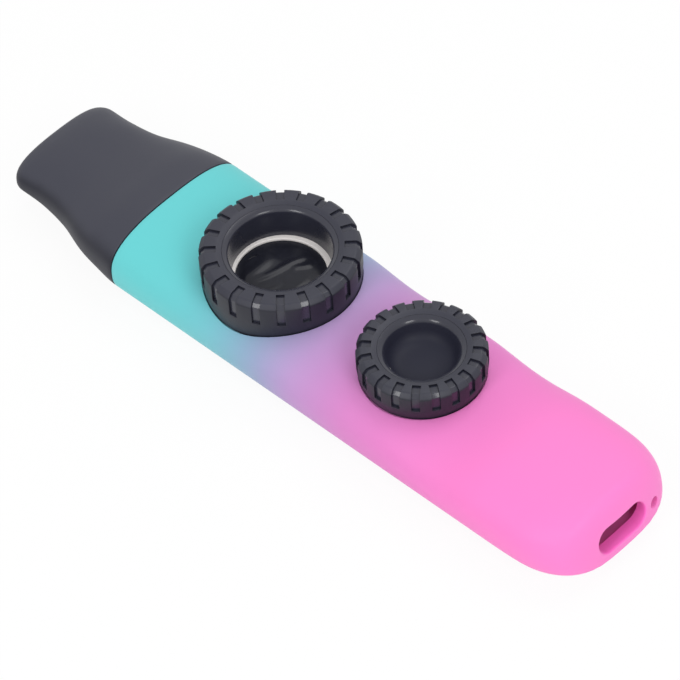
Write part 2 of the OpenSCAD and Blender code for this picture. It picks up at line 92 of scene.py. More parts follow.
class BodySizes(PropertyGroup):
    body_l: length("Length", "From the mouthpiece seam to the tip of the end dome", 106.6)
    body_w: length("Width", "Width at the seam", 32)
    body_h: length("Height", "Height at the seam", 15.5)
    wall: length("Wall", "Wall of the body shell", 2)
    draft: length("Draft", "Narrowing from the seam to the end dome", 1)
    section: share("Section", "Roundness of the cross section: 1 is an ellipse", 0.78)
    plan_round: length("Dome plan", "Length over which the dome narrows, from above", 20.1)
    plan_share: share("Dome plan curve", "Curve of the dome from above: 1 is an ellipse", 0.525)
    side_round: length("Dome fall", "Length over which the dome's upper side falls", 4)
    side_share: share("Dome fall curve", "Curve of the dome's upper side", 1.2)
    low_round: length("Dome rise", "Length over which the dome's underside rises", 10.6)
    low_share: share("Dome rise curve", "Curve of the dome's underside", 1.1)
    tip_drop: length("Tip drop", "Height that the widest line sinks towards the tip", 3.8)
    tip_share: share("Tip roundness", "How much rounder the cross section gets at the tip", 0.4)
    foot_flat: length("Foot", "Depth of the flat along the underside", 0.25)
    end_wall: length("End wall", "Wall of the dome at the sound opening", 2.6)
    dip_depth: length("Dip depth", "Depth of the two shallow dips in the top", 1)
    dip_l: length("Dip length", "Length of each dip", 23.5)
    dip_gap: length("Dip gap", "Distance from the knob to the middle of the second dip", 2.2)
    dip_pinch: share("Dip pinch", "How far the dips draw in the upper sides", 0.7)
    sound_w: length("Opening width", "Width of the sound opening", 11.6)
    sound_h: length("Opening height", "Height of the sound opening", 5.2)
    sound_z: length("Opening place", "Height of the opening's middle", 0.5)
    sound_lip: length("Opening lip", "Rounding of the sound opening's edge", 0.5)
    lanyard_d: length("Lanyard hole", "Diameter of the lanyard hole", 2)
    lanyard_gap: length("Lanyard gap", "Wall between the opening and the lanyard hole", 1.4)
    lanyard_drop: length("Lanyard drop", "Distance of the lanyard hole below the opening's middle",
                         0.9)
    hole_lip: length("Hole lip", "Rounding of the lanyard hole", 0.25)
    well_lip: length("Well lip", "Rounding of the wells' edges", 0.12)
    well_floor: length("Well floor", "Thickness of the wells' floors", 1.5)
    seam_edge: length("Seam edge", "Rounding of the two edges that meet at the seam", 0.26)


class MouthpieceSizes(PropertyGroup):
    mouth_l: length("Length", "Length in front of the seam", 30.3)
    seam_gap: length("Seam slit", "Width of the slit at the seam", 0.12)
    seam_depth: length("Seam depth", "Depth of the slit at the seam", 0.6)
    tip_w: length("Tip width", "Width of the lips at the tip", 24)
    tip_top: length("Upper lip", "Height of the upper lip's edge", 4)
    tip_low: length("Lower lip", "Depth of the lower lip's edge", 2.4)
    lip_r: length("Lip rounding", "Rounding of the lips, from the side", 1.1)
    tip_corner: length("Corner", "Rounding of the tip's corners, from above", 3)
    air_w: length("Slot width", "Width of the air slot", 16)
    air_h: length("Slot height", "Height of the air slot", 3.2)
    slot_edge: length("Slot edge", "Rounding of the air slot's edge", 0.35)
    spigot_l: length("Spigot", "Length of the spigot that plugs into the body", 8)
    spigot_wall: length("Spigot wall", "Wall of the spigot", 1.4)
    seal_x: length("Seal place", "Distance of the seal's groove from the seam", 4.8)
    seal_w: length("Seal width", "Width of the seal's groove", 1.6)
    seal_t: length("Seal depth", "Depth of the seal's groove", 0.65)
    spigot_edge: length("Spigot edge", "Rounding of the spigot's end", 0.2)
    fit_gap: length("Fit", "Clearance of the spigot in the body", 0.05)


class GripSizes(PropertyGroup):
    sleeve_t: length("Sleeve", "Thickness of the grip sleeves", 0.42)
    slot_w: length("Slot width", "Width of a slot", 1.5)
    slot_count: IntProperty(name="Slots", description="Slots round each sleeve", default=20, min=4)
    bevel: length("Bevel", "Bevel of the sleeve's upper edge", 0.9)
    skirt_taper: length("Skirt taper", "Drawing in of the skirts' lower edges", 0.5)
    slope_w: length("Slope width", "Width of the sleeve's inner slope", 1)
    slope_h: length("Slope fall", "Fall of the sleeve's inner slope", 0.35)
    rim_w: length("Rim width", "Width of the glossy rim", 1.05)
    rim_round: length("Rim rounding", "Rounding of the rim's inner edge", 0.6)
    rim_h: length("Rim fall", "Fall of the glossy rim", 0.55)
    slit_w: length("Rim slit", "Width of the hairline gap round the glossy rim", 0.03)
    slit_h: length("Rim slit depth", "Depth of the hairline gap round the glossy rim", 0.3)
    lug_edge: length("Lug edge", "Rounding of the lugs' edges", 0.14)
    gap: length("Gap", "Clearance under the skirts and round the cap's lip", 0.25)
    well_gap: length("Well gap", "Clearance between the skirts and their wells", 0.1)
    thread_depth: length("Thread depth", "Depth of the screw threads", 0.4)
    thread_w: length("Thread width", "Width of a thread's crest", 0.5)
    thread_gap: length("Thread gap", "Clearance between thread and skirt", 0.05)


class CapSizes(PropertyGroup):
    x: length("Place", "Distance of the cap's axis from the seam", 27.2)
    d: length("Diameter", "Outer diameter of the cap", 28.6)
    crest_w: length("Crest", "Width from the outside to the highest line", 3.1)
    well_z: length("Seat", "Height of the seat in the body", 4.35)
    lip_z: length("Bore start", "Height of the bore's lower edge", 7)
    bore_h: length("Bore", "Height of the sound bore", 5.9)
    bore_taper: length("Taper", "Widening of the bore's radius up to the rim", 0.25)
    slot_l: length("Slot length", "Length of the slots below the highest line", 4.7)
    wall: length("Wall", "Wall of the skirt behind the sleeve", 1.35)
    neck_r: length("Neck", "Radius of the collar's neck in the body", 10.2)
    bore_r: length("Collar bore", "Radius of the collar's bore", 11)
    port_r: length("Port", "Radius of the sound port", 8.1)
    ledge_z: length("Ledge", "Height of the ledge under the gasket", 5.8)
    film_z: length("Membrane", "Height of the membrane", 6.3)
    film_t: length("Membrane thickness", "Thickness of the membrane", 0.15)
    film_gap: length("Membrane gap", "Clearance of the membrane in the collar", 0.05)
    crown: length("Crown", "Height that the loose membrane bulges in its middle", 0.5)
    ring_t: length("Ring", "Thickness of the membrane's ring", 0.55)
    ring_play: length("Ring play", "How far the ring lies off the middle of its seat", 0.2)
    pitch: length("Pitch", "Rise of the cap in one turn", 2.5)


class KnobSizes(PropertyGroup):
    x: length("Place", "Distance of the knob's axis from the seam", 60.6)
    d: length("Diameter", "Outer diameter of the knob", 22.8)
    crest_w: length("Crest", "Width from the outside to the highest line", 2.7)
    well_z: length("Seat", "Height of the seat in the body", 5.95)
    rim_z: length("Rim", "Height of the rim", 11.7)
    bowl_h: length("Bowl", "Depth of the bowl", 3.1)
    bowl_taper: length("Taper", "Widening of the bowl's radius up to the rim", 0.8)
    bowl_dish: length("Dish", "Depth of the floor's hollow", 0.4)
    bowl_curve: FloatProperty(name="Bowl curve", description="How late the bowl's wall rises",
                              default=7, min=2, max=20)
    disc_top: length("Valve top", "Height of the valve's disc", 6.4)
    slot_l: length("Slot length", "Length of the slots below the highest line", 3.76)
    wall: length("Wall", "Wall of the knob", 1.05)
    neck_r: length("Neck", "Radius of the collar's neck in the body", 8.4)
    boss_r: length("Boss", "Radius of the boss on the valve", 2.45)
    pitch: length("Pitch", "Rise of the knob in one turn", 1.5)


class Finishes(PropertyGroup):
    teal: colour("Teal", "Body colour at the mouthpiece", 101, 206, 208)
    sky: colour("Sky", "Body colour beside the cap", 112, 199, 208)
    haze: colour("Haze", "Body colour behind the cap", 145, 164, 198)
    lilac: colour("Lilac", "Body colour between cap and knob", 189, 151, 206)
    orchid: colour("Orchid", "Body colour beside the knob", 216, 129, 198)
    pink: colour("Pink", "Body colour at the end dome", 250, 129, 203)
    # Partly painted light: the bare plastic's colour, made richer to stand in for light bouncing
    # inside the sound opening.
    bare_pink_and_bounce_light: colour("Bare pink and painted bounce light", "Bare plastic inside the sound opening, made richer to paint in light bouncing there", 255, 108, 200)
    satin: colour("Satin black", "Mouthpiece plastic", 24, 25, 38)
    # Painted light: the mouthpiece's upward faces are painted in this lighter colour, standing in
    # for light from above.
    satin_worn: colour("Satin painted top light", "Upper faces of the mouthpiece", 58, 59, 70)
    grip: colour("Grip black", "Sleeve plastic", 27, 28, 39)
    # Painted light: the sleeves' upward faces are painted in this lighter colour, standing in for
    # light from above.
    grip_painted_top_light: colour("Grip painted top light", "Upper faces of the sleeves", 45, 46, 58)
    gloss: colour("Gloss black", "Cap plastic", 43, 44, 56)
    bowl: colour("Bowl black", "Knob plastic", 32, 33, 47)
    membrane: colour("Membrane", "Thin dark film", 27, 28, 36)
    ring: colour("Ring", "Membrane ring plastic", 241, 236, 233)
    rubber: colour("Rubber", "Seal and gasket rubber", 62, 62, 65)
    valve: colour("Valve", "Valve plastic", 214, 214, 208)
    dust: colour("Dust", "Specks of dust", 190, 188, 184)


class StageSettings(PropertyGroup):
    azimuth: angle("Azimuth", "Turn of the camera round the kazoo", 46.469)
    elevation: angle("Elevation", "Height of the camera above the kazoo", 48.768)
    roll: angle("Roll", "Roll of the camera", -4.073)
    distance: length("Distance", "Camera distance", 800)
    aside: length("Aside", "Camera shift to its right", 29.49)
    lower: length("Lower", "Camera shift downwards", 20.60)
    lens: FloatProperty(name="Lens", description="Focal length", default=237.13,
                        subtype="DISTANCE_CAMERA", unit="CAMERA")
    key: power("Side lamps", "Power of the soft lamps beside the camera", 1.5)
    over: power("Upper lamp", "Power of the soft lamp behind and above", 0.8)
    fill: share("Fill", "Strength of the even light all round", 0.63)
    shadow: share("Shadow", "Strength of the shadow on the floor", 0.07)


GROUPS = {"kazoo_body": BodySizes, "kazoo_mouthpiece": MouthpieceSizes, "kazoo_grip": GripSizes,
          "kazoo_cap": CapSizes, "kazoo_knob": KnobSizes, "kazoo_finish": Finishes,
          "kazoo_stage": StageSettings}


def settings(name):
    """A group's values, with its lengths in millimetres and its colours linear."""
    group = getattr(bpy.context.scene, name)
    values = {}
    for prop in group.bl_rna.properties:
        if prop.identifier in ("rna_type", "name"):
            continue
        value = getattr(group, prop.identifier)
        if prop.subtype == "COLOR_GAMMA":
            value = [c / 12.92 if c <= 0.04045 else ((c + 0.055) / 1.055) ** 2.4 for c in value]
            value.append(1)
        elif prop.unit == "LENGTH":
            value = value / MM
        values[prop.identifier] = value
    return SimpleNamespace(**values)


# ---- Modelling ----

def ring_edges(bm, ring):
    return [bm.edges.get(pair) for pair in zip(ring, ring[1:] + ring[:1])]


def next_ring(bm, ring, places):
    """Extrudes a closed ring of vertices and moves the copies to their places."""
    made = bmesh.ops.extrude_edge_only(bm, edges=ring_edges(bm, ring))["geom"]
    fresh = {v for v in made if isinstance(v, bmesh.types.BMVert)}
    copies = []
    for vert, place in zip(ring, places):
        copy = next(e.other_vert(vert) for e in vert.link_edges if e.other_vert(vert) in fresh)
        copy.co = place
        copies.append(copy)
    return copies


def first_ring(bm, places):
    """A closed ring of vertices, in their order round it."""
    made = bmesh.ops.create_circle(bm, cap_ends=False, segments=len(places), radius=1)["verts"]
    ring, edge = [made[0]], made[0].link_edges[0]
    while len(ring) < len(places):
        ring.append(edge.other_vert(ring[-1]))
        edge = next(e for e in ring[-1].link_edges if e != edge)
    for vert, place in zip(ring, places):
        vert.co = place
    return ring


def loft(bm, rings):
    """A skin over a row of closed rings. Returns its first and last rings."""
    start = ring = first_ring(bm, rings[0])
    for places in rings[1:]:
        ring = next_ring(bm, ring, places)
    return start, ring


def cap_ring(bm, ring):
    bmesh.ops.contextual_create(bm, geom=ring)


def eased(corners, closed=True, steps=4):
    """An outline whose corners (radius, height, rounding) are rounded off."""
    outline = []
    count = len(corners)
    for i, (x, z, rounding) in enumerate(corners):
        here = Vector((x, z))
        ends = not closed and i in (0, count - 1)
        if ends or rounding == 0:
            outline.append(here)
            continue
        back = Vector(corners[i - 1][:2]) - here
        ahead = Vector(corners[(i + 1) % count][:2]) - here
        reach = min(rounding, SIDE_SHARE * back.length, SIDE_SHARE * ahead.length)
        a, b = here + back.normalized() * reach, here + ahead.normalized() * reach
        for k in range(steps + 1):
            t = k / steps
            outline.append(a * (1 - t) ** 2 + here * 2 * t * (1 - t) + b * t * t)
    return outline


def lathe(outline, steps, closed=True, turn=0.0):
    """A mesh that is an outline of radii and heights, spun round the upright axis."""
    bm = bmesh.new()
    heading = Vector((math.cos(turn), math.sin(turn), 0))
    verts = [bm.verts.new(heading * p.x + UP * p.y) for p in outline]
    edges = [bm.edges.new(pair) for pair in zip(verts, verts[1:])]
    if closed:
        edges.append(bm.edges.new((verts[-1], verts[0])))
    bmesh.ops.spin(bm, geom=verts + edges, cent=(0, 0, 0), axis=UP, dvec=(0, 0, 0),
                   angle=2 * math.pi, steps=steps, use_merge=True, use_duplicate=False)
    tidy(bm)
    return bm


def tidy(bm, reach=0.002):
    bmesh.ops.remove_doubles(bm, verts=bm.verts, dist=reach)
    bmesh.ops.recalc_face_normals(bm, faces=bm.faces)


def linked(name, data):
    made = bpy.data.objects.new(name, data)
    bpy.context.scene.collection.objects.link(made)
    return made


def mesh_from(bm, name, materials):
    mesh = bpy.data.meshes.new(name)
    bm.to_mesh(mesh)
    bm.free()
    for material in materials:
        mesh.materials.append(material)
    return mesh


def carved(bm, tool, marked=False):
    """Cuts one solid out of another. The faces of a marked tool get material place 1."""
    for face in tool.faces:
        face.material_index = int(marked)
    piece, cutter = (linked(name, mesh_from(made, name, [None, None]))
                     for name, made in (("carved", bm), ("cutter", tool)))
    cut = piece.modifiers.new("cut", "BOOLEAN")
    cut.operation, cut.solver, cut.object = "DIFFERENCE", "EXACT", cutter
    shaped = piece.evaluated_get(bpy.context.evaluated_depsgraph_get())
    result = bmesh.new()
    result.from_mesh(shaped.data)
    for used in (piece, cutter):
        mesh = used.data
        bpy.data.objects.remove(used)
        bpy.data.meshes.remove(mesh)
    return result


def place_piece(bm, name, body, nodes, finish, at_x=0.0, sharp=35):
    """Moves a modelled piece from its axis to its place on the part and dresses it."""
    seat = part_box("body_shell")[0]
    bmesh.ops.translate(bm, verts=bm.verts, vec=(at_x, 0, BodyForm().foot_z))
    bmesh.ops.scale(bm, verts=bm.verts, vec=(MM, MM, MM))
    bmesh.ops.translate(bm, verts=bm.verts, vec=(seat.x, 0, seat.z))
    for face in bm.faces:
        face.smooth = True
        face.material_index = 0
    mesh = mesh_from(bm, name, [finish])
    mesh.set_sharp_from_angle(angle=math.radians(sharp))
    piece = linked(name, mesh)
    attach(piece, body)
    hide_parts(*nodes)


def hermite(places, values, p):
    """Smooth curve through values given at rising places."""
    last = len(places) - 1
    i = max(k for k in range(last) if p >= places[k] or k == 0)

    def slope(k):
        a, b = max(0, k - 1), min(last, k + 1)
        return 0 if k == 0 else (values[b] - values[a]) / (places[b] - places[a])

    w = places[i + 1] - places[i]
    t = (p - places[i]) / w
    return ((2 * t ** 3 - 3 * t * t + 1) * values[i] + (t ** 3 - 2 * t * t + t) * w * slope(i)
            + (3 * t * t - 2 * t ** 3) * values[i + 1] + (t ** 3 - t * t) * w * slope(i + 1))


def bisect(test, low, high):
    """The place between low and high where test turns from false to true."""
    for _ in range(34):
        middle = (low + high) / 2
        low, high = (low, middle) if test(middle) else (middle, high)
    return (low + high) / 2


class BodyForm:
    """The body's outside and hollow, as curves along its length."""

    def __init__(self):
        self.s = s = settings("kazoo_body")
        self.foot_z = s.body_h / 2 - s.draft * s.body_h / s.body_w / 2 - s.foot_flat
        cap, knob = settings("kazoo_cap"), settings("kazoo_knob")
        self.dips = [(cap.x + cap.d / 2 + knob.x - knob.d / 2) / 2,
                     knob.x + knob.d / 2 + s.dip_gap]

    def left(self, x, reach, curve):
        u = max(0, min(1, (x - self.s.body_l + reach) / reach))
        return max(0, 1 - u ** (2 / curve)) ** (curve / 2)

    def half_width(self, x):
        s = self.s
        return (s.body_w - s.draft * x / s.body_l) / 2 * self.left(x, s.plan_round, s.plan_share)

    def half_height(self, x):
        s = self.s
        return (s.body_h - s.draft * s.body_h / s.body_w * x / s.body_l) / 2

    def low_left(self, x):
        return self.left(x, self.s.low_round, self.s.low_share)

    def waist(self, x):
        """Height of the widest line."""
        return -self.s.tip_drop * (1 - self.low_left(x))

    def upper(self, x):
        waist = self.waist(x)
        fall = self.left(x, self.s.side_round, self.s.side_share)
        return waist + (self.half_height(x) - waist) * fall

    def lower(self, x):
        return (self.half_height(x) + self.waist(x)) * self.low_left(x) - self.waist(x)

    def roundness(self, x):
        return self.s.section + self.s.tip_share * (1 - self.low_left(x))

    def dip(self, x):
        s = self.s
        return max(s.dip_depth * (1 + math.cos(2 * math.pi * (x - c) / s.dip_l)) / 2
                   if abs(x - c) < s.dip_l / 2 else 0 for c in self.dips)

    def pinch(self, x):
        return self.dip(x) * self.s.dip_pinch / self.half_height(0)

    def section(self, half_w, up, down, count, pinch=0.0, waist=0.0, curve=None):
        """One rounded outline across the body."""
        curve = curve or self.s.section
        points = []
        for i in range(count):
            c, s = (f(2 * math.pi * i / count) for f in (math.cos, math.sin))
            y = half_w * math.copysign(abs(c) ** curve, c) * (1 - pinch * max(0, s))
            reach = up - waist if s > 0 else down + waist
            z = waist + reach * math.copysign(abs(s) ** curve, s)
            points.append((y, max(-self.foot_z, z)))
        return points

    def outline(self, x, count, inset=0.0):
        return self.section(self.half_width(x) - inset, self.upper(x) - self.dip(x) - inset,
                            self.lower(x) - inset, count, self.pinch(x), self.waist(x),
                            self.roundness(x))

    def hollow(self, x, count, spare=0.0):
        ahead, less = x + self.s.wall / 2, self.s.wall + spare
        return self.section(self.half_width(ahead) - less, self.upper(ahead) - less - self.dip(x),
                            self.lower(ahead) - less, count, self.pinch(x), self.waist(ahead),
                            self.roundness(ahead))

    def top(self, x, y):
        """Height of the body's upper surface."""
        w, pinch, curve = self.half_width(x), self.pinch(x), self.roundness(x)
        if abs(y) >= w:
            return -self.s.body_h
        a = bisect(lambda t: w * math.cos(t) ** curve * (1 - pinch * math.sin(t)) < abs(y),
                   0, math.pi / 2)
        waist = self.waist(x)
        return waist + (self.upper(x) - self.dip(x) - waist) * math.sin(a) ** curve

    def nose(self, y, z):
        """Place of the end dome's surface in front of a point of its section."""
        def outside(x):
            waist, power = self.waist(x), 2 / self.roundness(x)
            w = self.half_width(x)
            h = self.upper(x) - waist if z > waist else self.lower(x) + waist
            return min(w, h) <= 0 or abs(y / w) ** power + abs((z - waist) / h) ** power > 1

        return bisect(outside, self.s.body_l - self.s.plan_round, self.s.body_l)


def at_x(x, outline):
    return [(x, y, z) for y, z in outline]


def stadium_point(y, z, half, r):
    """Where the ray to (y, z) leaves a round-ended slot of radius r and straight half length."""
    size = math.hypot(y, z)
    y, z = y / size, z / size
    reach = bisect(lambda t: math.hypot(max(0, abs(y * t) - half), z * t) > r, 0, half + r + 1)
    return y * reach, z * reach


# ---- Body ----

BODY_POINTS = 144
LIP_TURNS = [math.radians(a) for a in (15, 30, 45, 60, 75, 90)]
NOSE_L = 2.1  # length of the dome's front, whose rings run inwards to the sound opening
DOME_REGION = 6  # how far from the tip the faces round the lanyard hole are looked for
FACING_FRONT = 0.2  # how much those faces look forwards
RIM_MARGIN = 0.3  # how far round a well the body's faces are made again
OVERCUT = 1  # how far a blind hole reaches past the wall that it opens


def body_skin(bm, form):
    """The body's closed outside, with the sound opening as a blind pocket."""
    s = form.s
    dome_x = s.body_l - s.plan_round
    nose_from = s.body_l - NOSE_L
    rings = [at_x(0, form.outline(0, BODY_POINTS, s.seam_edge)),
             at_x(s.seam_edge * 0.3, form.outline(0, BODY_POINTS, s.seam_edge * 0.3))]
    straight, dome = 100, 26
    turn = math.asin((nose_from - dome_x) / s.plan_round)
    places = [s.seam_edge + (dome_x - s.seam_edge) * i / straight for i in range(straight)]
    places += [dome_x + s.plan_round * math.sin(turn * i / dome) for i in range(dome + 1)]
    rings += [at_x(x, form.outline(x, BODY_POINTS)) for x in places]
    half, r = (s.sound_w - s.sound_h) / 2, s.sound_h / 2
    edge = form.outline(nose_from, BODY_POINTS)

    def opening(spread):
        points = [stadium_point(y, z - s.sound_z, half, r + spread) for y, z in edge]
        return [(y, z + s.sound_z) for y, z in points]

    outer = opening(s.sound_lip)
    front = 9
    for i in range(1, front + 1):
        t = i / front
        points = [(a + (c - a) * t, b + (d - b) * t) for (a, b), (c, d) in zip(edge, outer)]
        rings.append([(form.nose(y, z), y, z) for y, z in points])
    for a in LIP_TURNS:
        sunk = s.sound_lip * (1 - math.cos(a))
        rings.append([(form.nose(y, z) - sunk, y, z)
                      for y, z in opening(s.sound_lip * (1 - math.sin(a)))])
    inner_x = s.body_l - s.end_wall - s.wall
    wall = rings[-1]
    for t in (0.25, 0.5, 0.75, 1):
        rings.append([(x + (inner_x - x) * t, y, z) for x, y, z in wall])
    first, last = loft(bm, rings)
    cap_ring(bm, first)
    cap_ring(bm, last)


def open_patch(bm, doomed, ring, facing):
    """Deletes faces and fills between the gap's edge and a new ring."""
    bmesh.ops.delete(bm, geom=doomed, context="FACES")
    edges = [e for e in bm.edges if e.is_boundary] + ring_edges(bm, ring)
    bmesh.ops.triangle_fill(bm, use_beauty=True, use_dissolve=False, edges=edges, normal=facing)


def lanyard_hole(bm, form):
    s = form.s
    r = s.lanyard_d / 2
    centre_y, centre_z = s.sound_w / 2 + s.lanyard_gap + r, s.sound_z - s.lanyard_drop
    count = 40

    def circle(radius):
        return [(centre_y + radius * math.cos(2 * math.pi * i / count),
                 centre_z + radius * math.sin(2 * math.pi * i / count)) for i in range(count)]

    reach = r + s.hole_lip + 0.04
    doomed = [f for f in bm.faces if f.calc_center_median().x > s.body_l - DOME_REGION
              and any(math.hypot(v.co.y - centre_y, v.co.z - centre_z) < reach
                      for v in f.verts) and f.normal.x > FACING_FRONT]
    ring = first_ring(bm, [(form.nose(y, z), y, z) for y, z in circle(r + s.hole_lip)])
    open_patch(bm, doomed, ring, (1, 0, 0))
    for a in LIP_TURNS[1::2]:
        sunk = s.hole_lip * (1 - math.cos(a))
        ring = next_ring(bm, ring, [(form.nose(y, z) - sunk, y, z)
                                    for y, z in circle(r + s.hole_lip * (1 - math.sin(a)))])
    inner_x = s.body_l - s.end_wall - s.wall
    ring = next_ring(bm, ring, at_x(inner_x, circle(r)))
    cap_ring(bm, ring)


def well(bm, form, centre_x, radius, slope, floor_z, hole_r):
    """A round seat in the body's top that widens upwards, with a hole in its floor."""
    s = form.s
    count = 180
    turns = [2 * math.pi * i / count for i in range(count)]

    def clear(r, a):
        return form.top(centre_x + r * math.cos(a), r * math.sin(a)) - floor_z

    # The rim lies on the widening wall, or where a floor above the surface runs out
    rims, lips = [], []
    for a in turns:
        rim = bisect(lambda r: r > radius + slope * max(0, clear(r, a)), radius, radius + 1)
        if clear(radius, a) < 0:
            rim = bisect(lambda r: clear(r, a) < 0, radius * 0.8, radius)
        rims.append(rim)
        lips.append(max(0, min(s.well_lip, clear(rim, a) / 2)))

    def circle(radii, height):
        return [(centre_x + r * math.cos(a), r * math.sin(a), height(r, a, i))
                for i, (r, a) in enumerate(zip(radii, turns))]

    def inside(v):
        a = math.atan2(v.co.y, v.co.x - centre_x) % (2 * math.pi)
        i = round(a / (2 * math.pi) * count) % count
        return math.hypot(v.co.x - centre_x, v.co.y) < rims[i] + lips[i] + RIM_MARGIN

    doomed = [f for f in bm.faces if f.calc_center_median().z > 1 and any(map(inside, f.verts))]
    ring = first_ring(bm, circle([r + lip for r, lip in zip(rims, lips)],
                                 lambda r, a, i: clear(r, a) + floor_z if lips[i] else floor_z))
    open_patch(bm, doomed, ring, UP)
    for turn in LIP_TURNS[1::2]:
        ring = next_ring(bm, ring, circle(
            [r + lip * (1 - math.sin(turn)) for r, lip in zip(rims, lips)],
            lambda r, a, i: floor_z + (max(0, clear(r, a)) - lips[i] * (1 - math.cos(turn))
                                       if lips[i] else 0)))
    ring = next_ring(bm, ring, circle([min(r, radius) for r in rims], lambda r, a, i: floor_z))
    for depth in (0, s.well_floor + OVERCUT):
        ring = next_ring(bm, ring, circle([hole_r] * count, lambda r, a, i: floor_z - depth))
    cap_ring(bm, ring)


def hollow_tool(form, seats):
    """The body's hollow, less the solid round the two wells."""
    s = form.s
    count, steps = 64, 30
    end_x = s.body_l - s.end_wall
    curve_x = s.body_l - s.plan_round - s.wall
    places = [curve_x * i / steps for i in range(steps)]
    places += [curve_x + (end_x - curve_x) * math.sin(math.pi / 2 * i / 12) for i in range(13)]
    rings = [at_x(-OVERCUT, form.hollow(0, count))]
    rings += [at_x(x, form.hollow(x, count)) for x in places]
    tool = bmesh.new()
    for ring in loft(tool, rings):
        cap_ring(tool, ring)
    tidy(tool)
    height = s.body_h
    for x, radius, low in seats:
        post = bmesh.new()
        bmesh.ops.create_cone(post, cap_ends=True, segments=96, radius1=radius, radius2=radius,
                              depth=height, matrix=Matrix.Translation((x, 0, low + height / 2)))
        tool = carved(tool, post)
    return tool


def build_body(finish):
    form = BodyForm()
    bm = bmesh.new()
    body_skin(bm, form)
    tidy(bm)
    lanyard_hole(bm, form)
    seats = []
    for tread in (TreadForm("kazoo_cap"), TreadForm("kazoo_knob")):
        part, grip = tread.part, tread.grip
        radius = tread.r - grip.skirt_taper + grip.well_gap
        slope = grip.skirt_taper / (tread.taper_z - part.well_z)
        well(bm, form, part.x, radius, slope, part.well_z, part.neck_r)
        seats.append((part.x, radius + form.s.wall, part.well_z - form.s.well_floor))
    tidy(bm)
    bm = carved(bm, hollow_tool(form, seats))
    tidy(bm, FINE)
    place_piece(bm, "body_finished", "case", ["body_shell"], finish, sharp=32)


# ---- Mouthpiece ----

# Shares of the way from the seam to the tip, and of the change in width and heights there
MOUTH_PLACES = [0, 0.165, 0.33, 0.53, 0.73, 0.89, 1]
MOUTH_WIDTHS = [0, 0.14, 0.38, 0.86, 1.07, 1.05, 1]
MOUTH_TOPS = [0, 0.02, 0.25, 0.47, 0.55, 0.73, 1]
MOUTH_LOWS = [0, 0.12, 0.215, 0.42, 0.68, 0.89, 1]
# The same for the air channel, which narrows from the spigot's bore to the air slot
AIR_PLACES = [0, 0.2, 0.5, 0.85, 1]
AIR_OPENED = [1, 0.85, 0.35, 0.02, 0]


def build_mouthpiece(finish):
    form, m = BodyForm(), settings("kazoo_mouthpiece")
    b = form.s
    count = 128

    def trimmed(r, distance):
        return r - math.sqrt(r * r - (r - distance) ** 2) if distance < r else 0

    def shape(p, inset=0.0):
        w, a, c = (hermite(MOUTH_PLACES, v, p) for v in (MOUTH_WIDTHS, MOUTH_TOPS, MOUTH_LOWS))
        side, lip = (trimmed(r, m.mouth_l * (1 - p)) + inset for r in (m.tip_corner, m.lip_r))
        half = b.body_h / 2
        return form.section(b.body_w / 2 + (m.tip_w / 2 - b.body_w / 2) * w - side,
                            half + (m.tip_top - half) * a - lip,
                            half + (m.tip_low - half) * c - lip, count)

    corner, edge, steps = m.tip_corner / m.mouth_l, b.seam_edge, 44
    rings = [at_x(0, shape(0, m.seam_depth)), at_x(-m.seam_gap, shape(0, m.seam_depth)),
             at_x(-m.seam_gap, shape(0, edge * 0.6)),
             at_x(-m.seam_gap - edge * 0.3, shape(0, edge * 0.2))]
    start = edge * 1.5 / m.mouth_l
    places = [start + (1 - corner - start) * i / steps for i in range(steps)]
    places += [1 - corner * (1 - math.sin(math.pi / 2 * i / 12)) for i in range(13)]
    rings += [at_x(-m.mouth_l * p, shape(p)) for p in places]
    slot_z = (m.tip_top - m.tip_low) / 2
    room = form.hollow(m.spigot_l, count, m.fit_gap)
    wide, high = max(y for y, z in room), max(z for y, z in room)
    bore_w, bore_h = wide - m.spigot_wall, high - m.spigot_wall

    def air(p, spread=0.0):
        opened = hermite(AIR_PLACES, AIR_OPENED, p)
        w = m.air_w / 2 + (bore_w - m.air_w / 2) * opened + spread
        h = m.air_h / 2 + (bore_h - m.air_h / 2) * opened + spread
        return [(y, z + slot_z * (1 - opened)) for y, z in form.section(w, h, h, count)]

    for a in [0, *LIP_TURNS]:
        rings.append(at_x(-m.mouth_l + m.slot_edge * (1 - math.cos(a)),
                          air(1, m.slot_edge * (1 - math.sin(a)))))
    rings += [at_x(-m.mouth_l * i / 20, air(i / 20)) for i in range(19, -1, -1)]
    end = m.spigot_edge
    flared = [(y * (1 + end / wide), z * (1 + end / high)) for y, z in air(0)]
    trimmed_end = form.hollow(m.spigot_l, count, m.fit_gap + end)
    deep = form.hollow(m.spigot_l, count, m.seal_t)
    rings += [at_x(x, ring) for x, ring in [
        (m.spigot_l - end, air(0)), (m.spigot_l, flared), (m.spigot_l, trimmed_end),
        (m.spigot_l - end, room), (m.seal_x + m.seal_w, room), (m.seal_x + m.seal_w, deep),
        (m.seal_x, deep), (m.seal_x, room), (0, room)]]
    bm = bmesh.new()
    first, last = loft(bm, rings)
    bmesh.ops.bridge_loops(bm, edges=ring_edges(bm, first) + ring_edges(bm, last))
    tidy(bm, FINE)
    place_piece(bm, "mouthpiece_finished", "mouthpiece", ["mouthpiece"], finish)


# ---- Cap and knob ----

LUG_STEPS = 6  # faces round a lug and its slot
THREAD_FOOT, THREAD_HEAD = 1.2, 0.3  # plain lengths below and above the collar's thread


